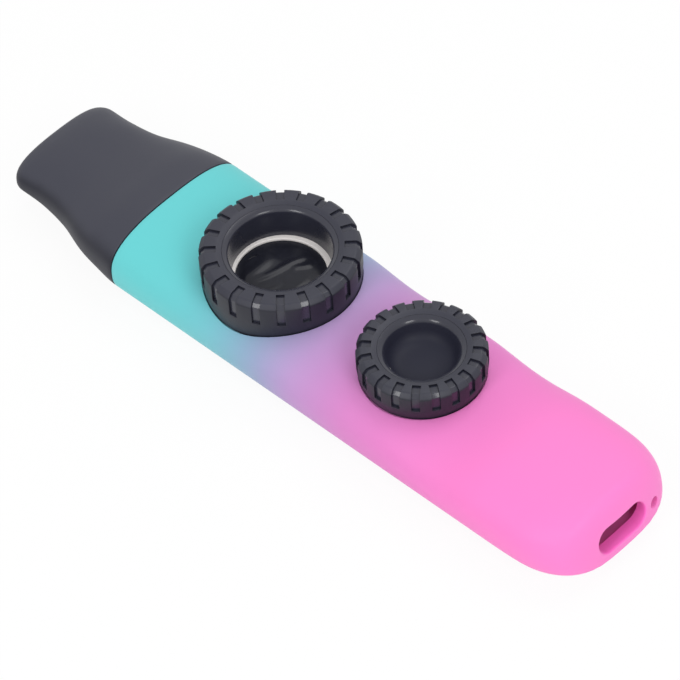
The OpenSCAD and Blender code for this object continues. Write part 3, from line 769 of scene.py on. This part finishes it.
class TreadForm:
    """Radii and heights that the cap and the knob share, from the skirt up to the rim."""

    def __init__(self, name):
        self.part = part = settings(name)
        self.grip = grip = settings("kazoo_grip")
        self.r = part.d / 2
        self.crest_r = self.r - part.crest_w
        self.gloss_r = self.crest_r - grip.slope_w
        self.rim_r = self.gloss_r - grip.rim_w
        self.thread_r = self.r - grip.sleeve_t - part.wall
        self.rim_z = part.rim_z if name == "kazoo_knob" else part.lip_z + part.bore_h
        self.gloss_z = self.rim_z + grip.rim_h
        self.crest_z = self.gloss_z + grip.slope_h
        self.slot_z = self.crest_z - part.slot_l
        self.taper_z = self.slot_z - grip.skirt_taper
        self.skirt_z = part.well_z + grip.gap
        self.web_z = self.crest_z - grip.sleeve_t - part.wall

    def face(self, depth, softness):
        """The sleeve's outer or inner face, from the glossy line down to the skirt."""
        grip, r = self.grip, self.r - depth
        bevel = grip.bevel + depth * math.tan(math.pi / 8)
        return [(self.gloss_r, self.gloss_z - depth, 0.06),
                (self.crest_r, self.crest_z - depth, softness * 1.4),
                (self.r - bevel, self.crest_z - depth, softness),
                (r, self.crest_z - bevel, softness), (r, self.taper_z, 2.2),
                (r - grip.skirt_taper, self.skirt_z, softness * 0.7)]

    def hub(self):
        """The hub, from its glossy rim down the outside and up again inside the skirt."""
        grip = self.grip
        slit_r = self.gloss_r - grip.slit_w
        return [(self.rim_r, self.rim_z, grip.rim_round), (slit_r, self.gloss_z, 0.05),
                (slit_r, self.gloss_z - grip.slit_h, 0.1), *self.face(grip.sleeve_t, 0.1)[1:],
                (self.thread_r, self.skirt_z, 0.1), (self.thread_r, self.web_z, 0.2)]


def sleeve(form, turn):
    """The satin tread sleeve, slotted through to the hub."""
    grip = form.grip
    period = 2 * math.pi / grip.slot_count
    bm = lathe(eased(form.face(0, 0.28) + form.face(grip.sleeve_t, 0)[::-1]),
               steps=grip.slot_count * LUG_STEPS, turn=turn + period / LUG_STEPS / 2)
    tool = bmesh.new()
    long, high = form.part.crest_w + OVERCUT, form.part.slot_l + OVERCUT
    for i in range(grip.slot_count):
        spot = (Matrix.Rotation(turn + period * i, 4, "Z")
                @ Matrix.Translation((form.crest_r + long / 2, 0, form.slot_z + high / 2))
                @ Matrix.Diagonal((long, grip.slot_w, high, 1)))
        bmesh.ops.create_cube(tool, size=1, matrix=spot)
    bm = carved(bm, tool, marked=True)
    tidy(bm, FINE)
    lips = [e for e in bm.edges if e.is_manifold
            and {f.material_index for f in e.link_faces} == {0, 1}]
    bmesh.ops.bevel(bm, geom=lips, offset=grip.lug_edge, offset_type="OFFSET", segments=3,
                    profile=0.5, affect="EDGES", clamp_overlap=True, material=-1)
    return bm


def ridge(bm, r, depth, width, low, high, pitch):
    """A helical thread round a collar, as a closed strip with its foot in the collar."""
    steps, buried = 48, 0.1
    total = int((high - low - 2 * width) / pitch * steps)
    foot_r = r - depth - buried
    shape = [(foot_r, low), (r, low + width / 2), (r, low + 1.5 * width),
             (foot_r, low + 2 * width)]
    verts = [bm.verts.new((x, 0, z)) for x, z in shape]
    edges = [bm.edges.new(pair) for pair in zip(verts, verts[1:] + verts[:1])]
    made = bmesh.ops.spin(bm, geom=verts + edges, cent=(0, 0, 0), axis=UP,
                          dvec=(0, 0, pitch / steps), angle=2 * math.pi * total / steps,
                          steps=total, use_merge=False, use_duplicate=False)
    end = [v for v in made["geom_last"] if isinstance(v, bmesh.types.BMVert)]
    bmesh.ops.contextual_create(bm, geom=verts)
    bmesh.ops.contextual_create(bm, geom=end)


def build_cap(satin, glossy, black):
    form = TreadForm("kazoo_cap")
    cap, grip = form.part, form.grip
    place_piece(sleeve(form, math.radians(8)), "cap_sleeve_finished", "cap", ["cap_sleeve"],
                satin, cap.x)

    lip_r = cap.bore_r - grip.gap
    bm = lathe(eased([(form.rim_r - cap.bore_taper, cap.lip_z, 0.1), *form.hub(),
                      (lip_r, form.web_z, 0.2), (lip_r, cap.lip_z, 0.1)]), steps=160)
    place_piece(bm, "cap_hub_finished", "cap", ["cap_hub"], glossy, cap.x)

    collar_r, top = form.thread_r - grip.thread_gap, form.web_z - grip.gap
    root, low = collar_r - grip.thread_depth, cap.well_z - settings("kazoo_body").well_floor
    bm = lathe(eased([(cap.port_r, low, 0.05), (cap.neck_r, low, 0.05),
                      (cap.neck_r, cap.well_z, 0), (root, cap.well_z, 0), (root, top, 0.25),
                      (cap.bore_r, top, 0.2), (cap.bore_r, cap.ledge_z, 0),
                      (cap.port_r, cap.ledge_z, 0.1)]), steps=96)
    ridge(bm, collar_r, grip.thread_depth, grip.thread_w, cap.well_z + THREAD_FOOT,
          top - THREAD_HEAD, cap.pitch)
    bmesh.ops.recalc_face_normals(bm, faces=bm.faces)
    place_piece(bm, "membrane_collar_finished", "case", ["membrane_collar"], black,
                cap.x)


# Shares of the bowl's radius at which its curve is drawn
BOWL_RADII = [0, 0.3, 0.5, 0.62, 0.7, 0.76, 0.81, 0.85, 0.885, 0.915]


def build_knob(satin, glossy):
    form = TreadForm("kazoo_knob")
    knob, rim_r = form.part, form.rim_r
    place_piece(sleeve(form, math.radians(1)), "knob_sleeve_finished", "knob", ["knob_sleeve"],
                satin, knob.x)

    floor_z = form.rim_z - knob.bowl_h - knob.bowl_dish
    low_z = floor_z - knob.wall
    bowl = [(rim_r * t, floor_z + (form.rim_z - floor_z) * t ** knob.bowl_curve, 0)
            for t in BOWL_RADII]
    below = [(rim_r + knob.wall, form.web_z, 0.2),
             (rim_r - knob.bowl_taper + knob.wall / 2, low_z, 0.2), (knob.boss_r, low_z, 0.1),
             (knob.boss_r, knob.disc_top, 0.1), (0, knob.disc_top, 0)]
    bm = lathe(eased(bowl + form.hub() + below, closed=False), steps=144, closed=False)
    place_piece(bm, "knob_hub_finished", "knob", ["knob_hub"], glossy, knob.x)


# ---- Membrane ----

# Folds of the film: start x and y, end x and y, half width and height, from the cap's axis
FOLDS = [(-4.2, -6.8, -4.5, 2.4, 1.45, 0.42), (-3.0, -5.2, 0.9, 6.4, 0.62, 0.26),
         (1.0, 1.6, 2.0, 5.6, 0.55, 0.17), (2.6, -5.6, 4.6, 2.2, 1.10, 0.17),
         (-6.6, -3.6, -6.1, 0.6, 0.60, 0.16), (0.3, -6.6, 1.2, -1.6, 0.70, 0.13)]
FOLD_SWAY = 0.35  # how far a fold wanders off its line
HELD_W, LOOSENING_W = 0.15, 1.6  # how wide the film stays flat inside its ring, then loosens
RING_SIDE = Vector((-0.69, -0.72, 0))  # the way in which the ring lies off the middle


def fold_height(x, y):
    total = 0.0
    for x0, y0, x1, y1, wide, high in FOLDS:
        run = Vector((x1 - x0, y1 - y0))
        t = (Vector((x - x0, y - y0)).dot(run)) / run.length_squared
        off = (x - x0) * run.y / run.length - (y - y0) * run.x / run.length
        off += FOLD_SWAY * math.sin(5 * t + x0)
        fade = math.sin(math.pi * min(1, max(0, t))) ** 0.6
        total += high * fade * math.exp(-(off / wide) ** 2)
    return total


def build_membrane(film, white):
    cap = settings("kazoo_cap")
    outer, top_z = cap.bore_r - cap.film_gap, cap.film_z + cap.film_t
    count, steps, middle_r = 120, 46, 0.02

    def disc(r, upper):
        loose = min(1, max(0, (cap.port_r - HELD_W - r) / LOOSENING_W))
        loose = loose * loose * (3 - 2 * loose)
        places = []
        for i in range(count):
            x, y = (r * f(2 * math.pi * i / count) for f in (math.cos, math.sin))
            swell = cap.crown * (1 - (r / cap.port_r) ** 2)
            lift = (fold_height(x, y) + swell) * loose
            places.append((x, y, (top_z if upper else top_z - cap.film_t) + lift))
        return places

    radii = [middle_r + (outer - middle_r) * i / steps for i in range(steps + 1)]
    bm = bmesh.new()
    rings = [disc(r, True) for r in radii] + [disc(r, False) for r in radii[::-1]]
    for ring in loft(bm, rings):
        cap_ring(bm, ring)
    tidy(bm, FINE)
    place_piece(bm, "membrane_film_finished", "case", ["membrane_film"], film, cap.x,
                sharp=60)

    ring_r = outer - cap.ring_play
    bm = lathe(eased([(cap.port_r, top_z, 0.1), (cap.port_r, top_z + cap.ring_t, 0.22),
                      (ring_r, top_z + cap.ring_t, 0.1), (ring_r, top_z, 0.05)]), steps=144)
    bmesh.ops.translate(bm, verts=bm.verts, vec=RING_SIDE * cap.ring_play)
    place_piece(bm, "membrane_ring_finished", "slip_ring", ["membrane_ring"], white,
                cap.x)


# ---- Finishes ----

def add(tree, kind, inputs=None, **values):
    """A shader node with its sockets set or linked and its own settings made."""
    made = tree.nodes.new(kind)
    for key, value in values.items():
        setattr(made, key, value)
    for key, value in (inputs or {}).items():
        socket = made.inputs[key]
        if isinstance(value, bpy.types.NodeSocket):
            tree.links.new(value, socket)
        else:
            socket.default_value = value
    return made


def maths(tree, operation, a, b=0.0):
    return add(tree, "ShaderNodeMath", {0: a, 1: b}, operation=operation).outputs[0]


def vector_maths(tree, operation, a, b=(0, 0, 0)):
    return add(tree, "ShaderNodeVectorMath", {0: a, 1: b}, operation=operation).outputs


def ranged(tree, value, low, high, start=0.0, end=1.0, curve="LINEAR"):
    """Carries a value that runs from start to end over to low and high."""
    return add(tree, "ShaderNodeMapRange", {"Value": value, "From Min": start, "From Max": end,
                                            "To Min": low, "To Max": high},
               interpolation_type=curve).outputs[0]


def blended(tree, mask, a, b):
    return add(tree, "ShaderNodeMix", {"Factor": mask, "A": a, "B": b},
               data_type="RGBA").outputs["Result"]


def noise(tree, place, scale, detail, roughness=0.5, distortion=0.0):
    return add(tree, "ShaderNodeTexNoise", {"Vector": place, "Scale": scale, "Detail": detail,
                                            "Roughness": roughness,
                                            "Distortion": distortion}).outputs[0]


def brighter(paint, times):
    return [c * times for c in paint[:3]] + [1]


def new_group(name, vectors, floats, results):
    """A node group with its sockets. Returns its tree, its inputs and its outputs."""
    tree = bpy.data.node_groups.new(name, "ShaderNodeTree")
    for label in vectors:
        tree.interface.new_socket(label, in_out="INPUT", socket_type="NodeSocketVector")
    for label, default in floats.items():
        tree.interface.new_socket(label, in_out="INPUT",
                                  socket_type="NodeSocketFloat").default_value = default
    for label in results:
        tree.interface.new_socket(label, in_out="OUTPUT", socket_type="NodeSocketFloat")
    return tree, tree.nodes.new("NodeGroupInput").outputs, tree.nodes.new("NodeGroupOutput").inputs


def grain_group(name):
    """Moulded grain: a fine height and a roughness that wanders with handling."""
    tree, given, out = new_group(
        name, ["Vector"], {"Grain Scale": 9000, "Handling Scale": 90, "Smoothest": 0.4,
                           "Roughest": 0.5}, ["Roughness", "Height"])
    fine = noise(tree, given["Vector"], given["Grain Scale"], 3, 0.6)
    broad = noise(tree, given["Vector"], given["Handling Scale"], 4)
    uneven = maths(tree, "ADD", broad, maths(tree, "MULTIPLY", fine, 0.3))
    rough = ranged(tree, uneven, given["Smoothest"], given["Roughest"], 0.4, 0.9)
    tree.links.new(rough, out["Roughness"])
    tree.links.new(fine, out["Height"])
    return tree


def top_light_group(name):
    """Painted top light: a mask that grows where a face looks upwards, for painting upward faces
    lighter as if lit from above.
    """
    tree, given, out = new_group(name, ["Vector", "Normal"], {"Starts": 0.35, "Full": 0.85},
                                 ["Mask"])
    upwards = add(tree, "ShaderNodeSeparateXYZ", {"Vector": given["Normal"]}).outputs["Z"]
    patches = ranged(tree, noise(tree, given["Vector"], 140, 3), -0.1, 0.1)
    mask = ranged(tree, maths(tree, "ADD", upwards, patches), 0, 1, given["Starts"],
                  given["Full"], "SMOOTHSTEP")
    tree.links.new(mask, out["Mask"])
    return tree


def dust_group(name):
    """Sparse specks: a mask that is 1 on a speck."""
    tree, given, out = new_group(name, ["Vector"], {"Scale": 300, "Size": 0.06, "Share": 0.03},
                                 ["Mask"])
    cells = add(tree, "ShaderNodeTexVoronoi", {"Vector": given["Vector"], "Scale": given["Scale"]},
                feature="F1").outputs
    near = maths(tree, "LESS_THAN", cells["Distance"], given["Size"])
    pick = add(tree, "ShaderNodeSeparateColor", {"Color": cells["Color"]}).outputs[0]
    mask = maths(tree, "MULTIPLY", near, maths(tree, "LESS_THAN", pick, given["Share"]))
    tree.links.new(mask, out["Mask"])
    return tree


EFFECTS = {"Moulded grain": grain_group, "Upper wear": top_light_group, "Dust specks": dust_group}


def effect(tree, name, inputs):
    """Uses a shared node group, which is built on its first use. Returns its outputs."""
    group = bpy.data.node_groups.get(name) or EFFECTS[name](name)
    return add(tree, "ShaderNodeGroup", inputs, node_tree=group).outputs


# Real heights of the moulded grain and of the film's creases, in metres
GRAIN_DEPTH, CREASE_DEPTH = 0.00002, 0.00006


def start_material(name):
    material = bpy.data.materials.new(name)
    material.use_nodes = True
    tree = material.node_tree
    place = add(tree, "ShaderNodeTexCoord").outputs["Object"]
    return material, tree, tree.nodes["Principled BSDF"], place


def moulded(tree, shader, place, smoothest, roughest, bump, grain=9000, handling=90):
    """Gives a shader moulded grain and handling marks. Returns the grain's height."""
    surface = effect(tree, "Moulded grain", {
        "Vector": place, "Grain Scale": grain, "Handling Scale": handling,
        "Smoothest": smoothest, "Roughest": roughest})
    bumped = add(tree, "ShaderNodeBump", {"Strength": bump, "Distance": GRAIN_DEPTH,
                                          "Height": surface["Height"]})
    tree.links.new(surface["Roughness"], shader.inputs["Roughness"])
    tree.links.new(bumped.outputs[0], shader.inputs["Normal"])
    return surface["Height"]


def plastic(name, base, smoothest, roughest, top_light_paint=None, grain=9000, bump=0.12, dust=0.0,
            specular=0.5):
    """Moulded plastic or rubber with grain, handling marks, painted light that makes upward faces
    lighter, and a little dust.
    """
    material, tree, shader, place = start_material(name)
    height = moulded(tree, shader, place, smoothest, roughest, bump, grain)
    tint = blended(tree, height, base, brighter(base, 1.12))
    # Painted light: upward faces are blended towards the lighter top colour.
    if top_light_paint:
        normal = add(tree, "ShaderNodeNewGeometry").outputs["Normal"]
        top_light = effect(tree, "Upper wear", {"Vector": place, "Normal": normal})
        tint = blended(tree, top_light["Mask"], tint, top_light_paint)
    if dust:
        specks = effect(tree, "Dust specks", {"Vector": place, "Share": dust})
        tint = blended(tree, specks["Mask"], tint, settings("kazoo_finish").dust)
    tree.links.new(tint, shader.inputs["Base Color"])
    shader.inputs["Specular IOR Level"].default_value = specular
    return material


def knob_plastic():
    """Black plastic that is glossy on the knob's rim and dull in its bowl."""
    form = TreadForm("kazoo_knob")
    material = plastic("knob_plastic", settings("kazoo_finish").bowl, 0.5, 0.6, bump=0.05,
                       dust=0.015, specular=0.22)
    tree = material.node_tree
    shader = tree.nodes["Principled BSDF"]
    place = add(tree, "ShaderNodeTexCoord").outputs["Object"]
    axis_x, rim_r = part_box("body_shell")[0].x + form.part.x * MM, form.rim_r * MM
    away = vector_maths(tree, "SUBTRACT", place, (axis_x, 0, 0))[0]
    level = vector_maths(tree, "MULTIPLY", away, (1, 1, 0))[0]
    reach = vector_maths(tree, "LENGTH", level)["Value"]
    tree.links.new(ranged(tree, reach, 0, 0.7, rim_r * 0.92, rim_r), shader.inputs["Coat Weight"])
    shader.inputs["Coat Roughness"].default_value = 0.16
    return material


# The body's fade: distances from the seam in millimetres, and the colours there
FADE = [(12, "teal"), (24, "sky"), (34, "haze"), (43, "lilac"), (56, "orchid"), (80, "pink")]


def soft_paint():
    """Soft-touch paint that fades from teal through lilac to pink along the body."""
    look, sizes = settings("kazoo_finish"), settings("kazoo_body")
    material, tree, shader, place = start_material("soft_touch_fade")
    moulded(tree, shader, place, 0.52, 0.6, bump=0.1, grain=7000, handling=70)
    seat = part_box("body_shell")[0]
    at = add(tree, "ShaderNodeSeparateXYZ", {"Vector": place}).outputs
    drift = ranged(tree, noise(tree, place, 60, 2), -0.0008, 0.0008)
    along = ranged(tree, maths(tree, "ADD", at["X"], drift), 0, 1, seat.x,
                   seat.x + sizes.body_l * MM)
    ramp = add(tree, "ShaderNodeValToRGB", {"Fac": along})
    band = ramp.color_ramp
    band.interpolation = "B_SPLINE"
    stops = [(x / sizes.body_l, getattr(look, paint)) for x, paint in FADE]
    for element, stop in zip(band.elements, (stops[0], stops[-1])):
        element.position, element.color = stop
    for position, paint in stops[1:-1]:
        band.elements.new(position).color = paint

    # The bare plastic of the sound opening, as a mask inside the outline of its lip; its colour is
    # richer than the bare plastic, as painted light standing in for the light that bounces inside
    # the opening
    straight, lip = (sizes.sound_w - sizes.sound_h) / 2 * MM, sizes.sound_h / 2 * MM
    past = maths(tree, "SUBTRACT", maths(tree, "ABSOLUTE", at["Y"]), straight)
    above = maths(tree, "SUBTRACT", at["Z"],
                  seat.z + (BodyForm().foot_z + sizes.sound_z) * MM)
    across = add(tree, "ShaderNodeCombineXYZ", {"X": maths(tree, "MAXIMUM", past), "Y": above})
    reach = vector_maths(tree, "LENGTH", across.outputs[0])["Value"]
    inside = ranged(tree, reach, 0, 1, lip + 0.0002, lip + 0.00005)
    bare_bounce_mask = maths(tree, "MULTIPLY", inside, maths(tree, "GREATER_THAN", along, 0.8))
    # Inside the opening the colour is bare pink, made richer to paint in the light that bounces
    # there.
    tint = blended(tree, bare_bounce_mask, ramp.outputs["Color"], look.bare_pink_and_bounce_light)
    tree.links.new(tint, shader.inputs["Base Color"])
    shader.inputs["Specular IOR Level"].default_value = 0.35
    shader.inputs["Sheen Weight"].default_value = 0.12
    shader.inputs["Sheen Roughness"].default_value = 0.45
    return material


def film_material():
    """Thin dark glossy film with fine creases."""
    base = settings("kazoo_finish").membrane
    material, tree, shader, place = start_material("membrane_foil")
    crease = noise(tree, place, 420, 5, 0.55, 1.4)
    bumped = add(tree, "ShaderNodeBump", {"Strength": 0.2, "Distance": CREASE_DEPTH,
                                          "Height": crease})
    tree.links.new(bumped.outputs[0], shader.inputs["Normal"])
    tree.links.new(blended(tree, crease, base, brighter(base, 1.6)), shader.inputs["Base Color"])
    tree.links.new(ranged(tree, crease, 0.12, 0.3), shader.inputs["Roughness"])
    shader.inputs["Specular IOR Level"].default_value = 0.24
    return material


def finish(name):
    """The named finish, made once."""
    if name in bpy.data.materials:
        return bpy.data.materials[name]
    look = settings("kazoo_finish")
    makers = {
        "soft_touch_fade": soft_paint,
        "membrane_foil": film_material,
        "knob_plastic": knob_plastic,
        # The satin and grip plastics paint their upward faces lighter, as painted top light.
        "satin_plastic": lambda: plastic("satin_plastic", look.satin, 0.42, 0.52,
                                         top_light_paint=look.satin_worn, dust=0.03, specular=0.35),
        "grip_plastic": lambda: plastic("grip_plastic", look.grip, 0.42, 0.55,
                                        top_light_paint=look.grip_painted_top_light, grain=7000, bump=0.2, dust=0.02,
                                        specular=0.4),
        "gloss_plastic": lambda: plastic("gloss_plastic", look.gloss, 0.18, 0.28, bump=0.03,
                                         dust=0.015),
        "ring_plastic": lambda: plastic("ring_plastic", look.ring, 0.35, 0.5, bump=0.05),
        "soft_rubber": lambda: plastic("soft_rubber", look.rubber, 0.65, 0.8, bump=0.3),
        "valve_plastic": lambda: plastic("valve_plastic", look.valve, 0.35, 0.5, bump=0.05),
    }
    return makers[name]()


def dress(node, name):
    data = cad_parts[node].data
    data.materials.clear()
    data.materials.append(finish(name))


# ---- Operators ----

class KAZOO_OT_body(Operator):
    """Build the hollow body with its wells, sound opening and lanyard hole"""
    bl_idname = "kazoo.body"
    bl_label = "Body"

    def execute(self, context):
        build_body(finish("soft_touch_fade"))
        return {"FINISHED"}


class KAZOO_OT_mouthpiece(Operator):
    """Build the duckbill mouthpiece with its spigot"""
    bl_idname = "kazoo.mouthpiece"
    bl_label = "Mouthpiece"

    def execute(self, context):
        build_mouthpiece(finish("satin_plastic"))
        dress("mouthpiece_seal", "soft_rubber")
        return {"FINISHED"}


class KAZOO_OT_membrane(Operator):
    """Build the wrinkled membrane and the ring that holds it"""
    bl_idname = "kazoo.membrane"
    bl_label = "Membrane"

    def execute(self, context):
        build_membrane(finish("membrane_foil"), finish("ring_plastic"))
        dress("membrane_gasket", "soft_rubber")
        return {"FINISHED"}


class KAZOO_OT_cap(Operator):
    """Build the membrane cap with its tread sleeve and the threaded collar"""
    bl_idname = "kazoo.cap"
    bl_label = "Membrane cap"

    def execute(self, context):
        build_cap(finish("grip_plastic"), finish("gloss_plastic"), finish("satin_plastic"))
        return {"FINISHED"}


class KAZOO_OT_knob(Operator):
    """Build the tone knob with its tread sleeve, and dress the valve under it"""
    bl_idname = "kazoo.knob"
    bl_label = "Tone knob"

    def execute(self, context):
        build_knob(finish("grip_plastic"), finish("knob_plastic"))
        dress("valve_collar", "satin_plastic")
        dress("valve_plug", "valve_plastic")
        dress("valve_washer", "soft_rubber")
        return {"FINISHED"}


class KAZOO_OT_stage(Operator):
    """Build the floor, the lights and the camera"""
    bl_idname = "kazoo.stage"
    bl_label = "Stage"

    def execute(self, context):
        build_stage(context.scene)
        return {"FINISHED"}


# ---- Stage ----

SEEN_WHITE = ["Is Camera Ray", "Is Glossy Ray", "Is Transmission Ray"]
LAMP_DISTANCE = 0.75
# Lamps: turn from the camera and height in degrees, width, height, share of the power
LAMPS = {"lamp_left": (-39, 40, 0.20, 0.28, 0.85), "lamp_right": (29, 41, 0.20, 0.28, 0.8),
         "lamp_over": (140, 62, 0.42, 0.42, 1.5)}


def white_share(tree, most=1.0):
    """How much plain white a ray sees. Rays that only light the kazoo see none."""
    path = add(tree, "ShaderNodeLightPath").outputs
    seen = path[SEEN_WHITE[0]]
    for kind in SEEN_WHITE[1:]:
        seen = maths(tree, "MAXIMUM", seen, path[kind])
    return maths(tree, "MULTIPLY", seen, most)


def show(tree, kind, mask, plain, white):
    """Sends one of two shaders to the tree's output, as the mask says."""
    mixed = add(tree, "ShaderNodeMixShader", {"Fac": mask, 1: plain.outputs[0],
                                              2: white.outputs[0]})
    add(tree, kind, {"Surface": mixed.outputs[0]})


def direction(turn, height):
    """The way to a place at this turn round the kazoo and this height above it."""
    return Vector((math.sin(turn) * math.cos(height), -math.cos(turn) * math.cos(height),
                   math.sin(height)))


def build_floor(shadow):
    bm = bmesh.new()
    bmesh.ops.create_grid(bm, x_segments=8, y_segments=8, size=1.5)
    material = bpy.data.materials.new("pale_floor")
    material.use_nodes = True
    tree = material.node_tree
    tree.nodes.clear()
    matt = add(tree, "ShaderNodeBsdfDiffuse", {"Color": (0.92, 0.92, 0.92, 1)})
    plain = add(tree, "ShaderNodeEmission", {"Strength": 1.0})
    show(tree, "ShaderNodeOutputMaterial", white_share(tree, 1 - shadow), matt, plain)
    linked("floor", mesh_from(bm, "floor", [material]))


def build_world(scene, fill):
    world = bpy.data.worlds.new("soft_tent")
    world.use_nodes = True
    tree = world.node_tree
    tree.nodes.clear()
    even, white = (add(tree, "ShaderNodeBackground", {"Color": (1, 1, 1, 1), "Strength": strength})
                   for strength in (fill, 1))
    show(tree, "ShaderNodeOutputWorld", white_share(tree), even, white)
    scene.world = world


def build_lamps(stage):
    for name, (turn, height, wide, tall, power) in LAMPS.items():
        light = bpy.data.lights.new(name, "AREA")
        light.shape, light.size, light.size_y = "RECTANGLE", wide, tall
        light.energy = (stage.over if name == "lamp_over" else stage.key) * power
        lamp = linked(name, light)
        way = direction(stage.azimuth + math.radians(turn), math.radians(height))
        lamp.location = way * LAMP_DISTANCE
        lamp.rotation_euler = way.to_track_quat("Z", "Y").to_euler()


def build_camera(scene, stage):
    back = direction(stage.azimuth, stage.elevation)
    level = Vector((math.cos(stage.azimuth), math.sin(stage.azimuth), 0))
    above = back.cross(level)
    right = level * math.cos(stage.roll) + above * math.sin(stage.roll)
    up = above * math.cos(stage.roll) - level * math.sin(stage.roll)
    lens = bpy.data.cameras.new("camera")
    lens.sensor_width, lens.lens = 36, stage.lens
    lens.clip_start, lens.clip_end = 0.01, 20
    camera = linked("camera", lens)
    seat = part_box("body_shell")[0]
    spot = (back * stage.distance + right * stage.aside - up * stage.lower) * MM
    spot += Vector((seat.x, 0, seat.z + BodyForm().foot_z * MM))
    camera.matrix_world = Matrix.Translation(spot) @ Matrix(
        (right, up, back)).transposed().to_4x4()
    scene.camera = camera


def build_stage(scene):
    stage = settings("kazoo_stage")
    scene.view_settings.view_transform = "Standard"
    build_floor(stage.shadow)
    build_world(scene, stage.fill)
    build_lamps(stage)
    build_camera(scene, stage)


class KAZOO_PT_panel(Panel):
    """Buttons and sizes of the kazoo"""
    bl_idname = "KAZOO_PT_panel"
    bl_label = "Kazoo"
    bl_space_type = "VIEW_3D"
    bl_region_type = "UI"
    bl_category = "Kazoo"

    def draw(self, context):
        for operator in OPERATORS:
            self.layout.operator(operator.bl_idname)
        for name, group in GROUPS.items():
            box = self.layout.box()
            box.label(text=group.__name__)
            values = getattr(context.scene, name)
            for key in group.__annotations__:
                box.prop(values, key)


OPERATORS = [KAZOO_OT_body, KAZOO_OT_mouthpiece, KAZOO_OT_membrane, KAZOO_OT_cap, KAZOO_OT_knob,
             KAZOO_OT_stage]


def register():
    for made in [*GROUPS.values(), *OPERATORS, KAZOO_PT_panel]:
        bpy.utils.register_class(made)
    for name, group in GROUPS.items():
        setattr(bpy.types.Scene, name, PointerProperty(type=group))


def unregister():
    for name in GROUPS:
        delattr(bpy.types.Scene, name)
    for made in reversed([*GROUPS.values(), *OPERATORS, KAZOO_PT_panel]):
        bpy.utils.unregister_class(made)


def main():
    register()
    bpy.ops.kazoo.body()
    bpy.ops.kazoo.mouthpiece()
    bpy.ops.kazoo.membrane()
    bpy.ops.kazoo.cap()
    bpy.ops.kazoo.knob()
    bpy.ops.kazoo.stage()


if __name__ == "__main__":
    main()
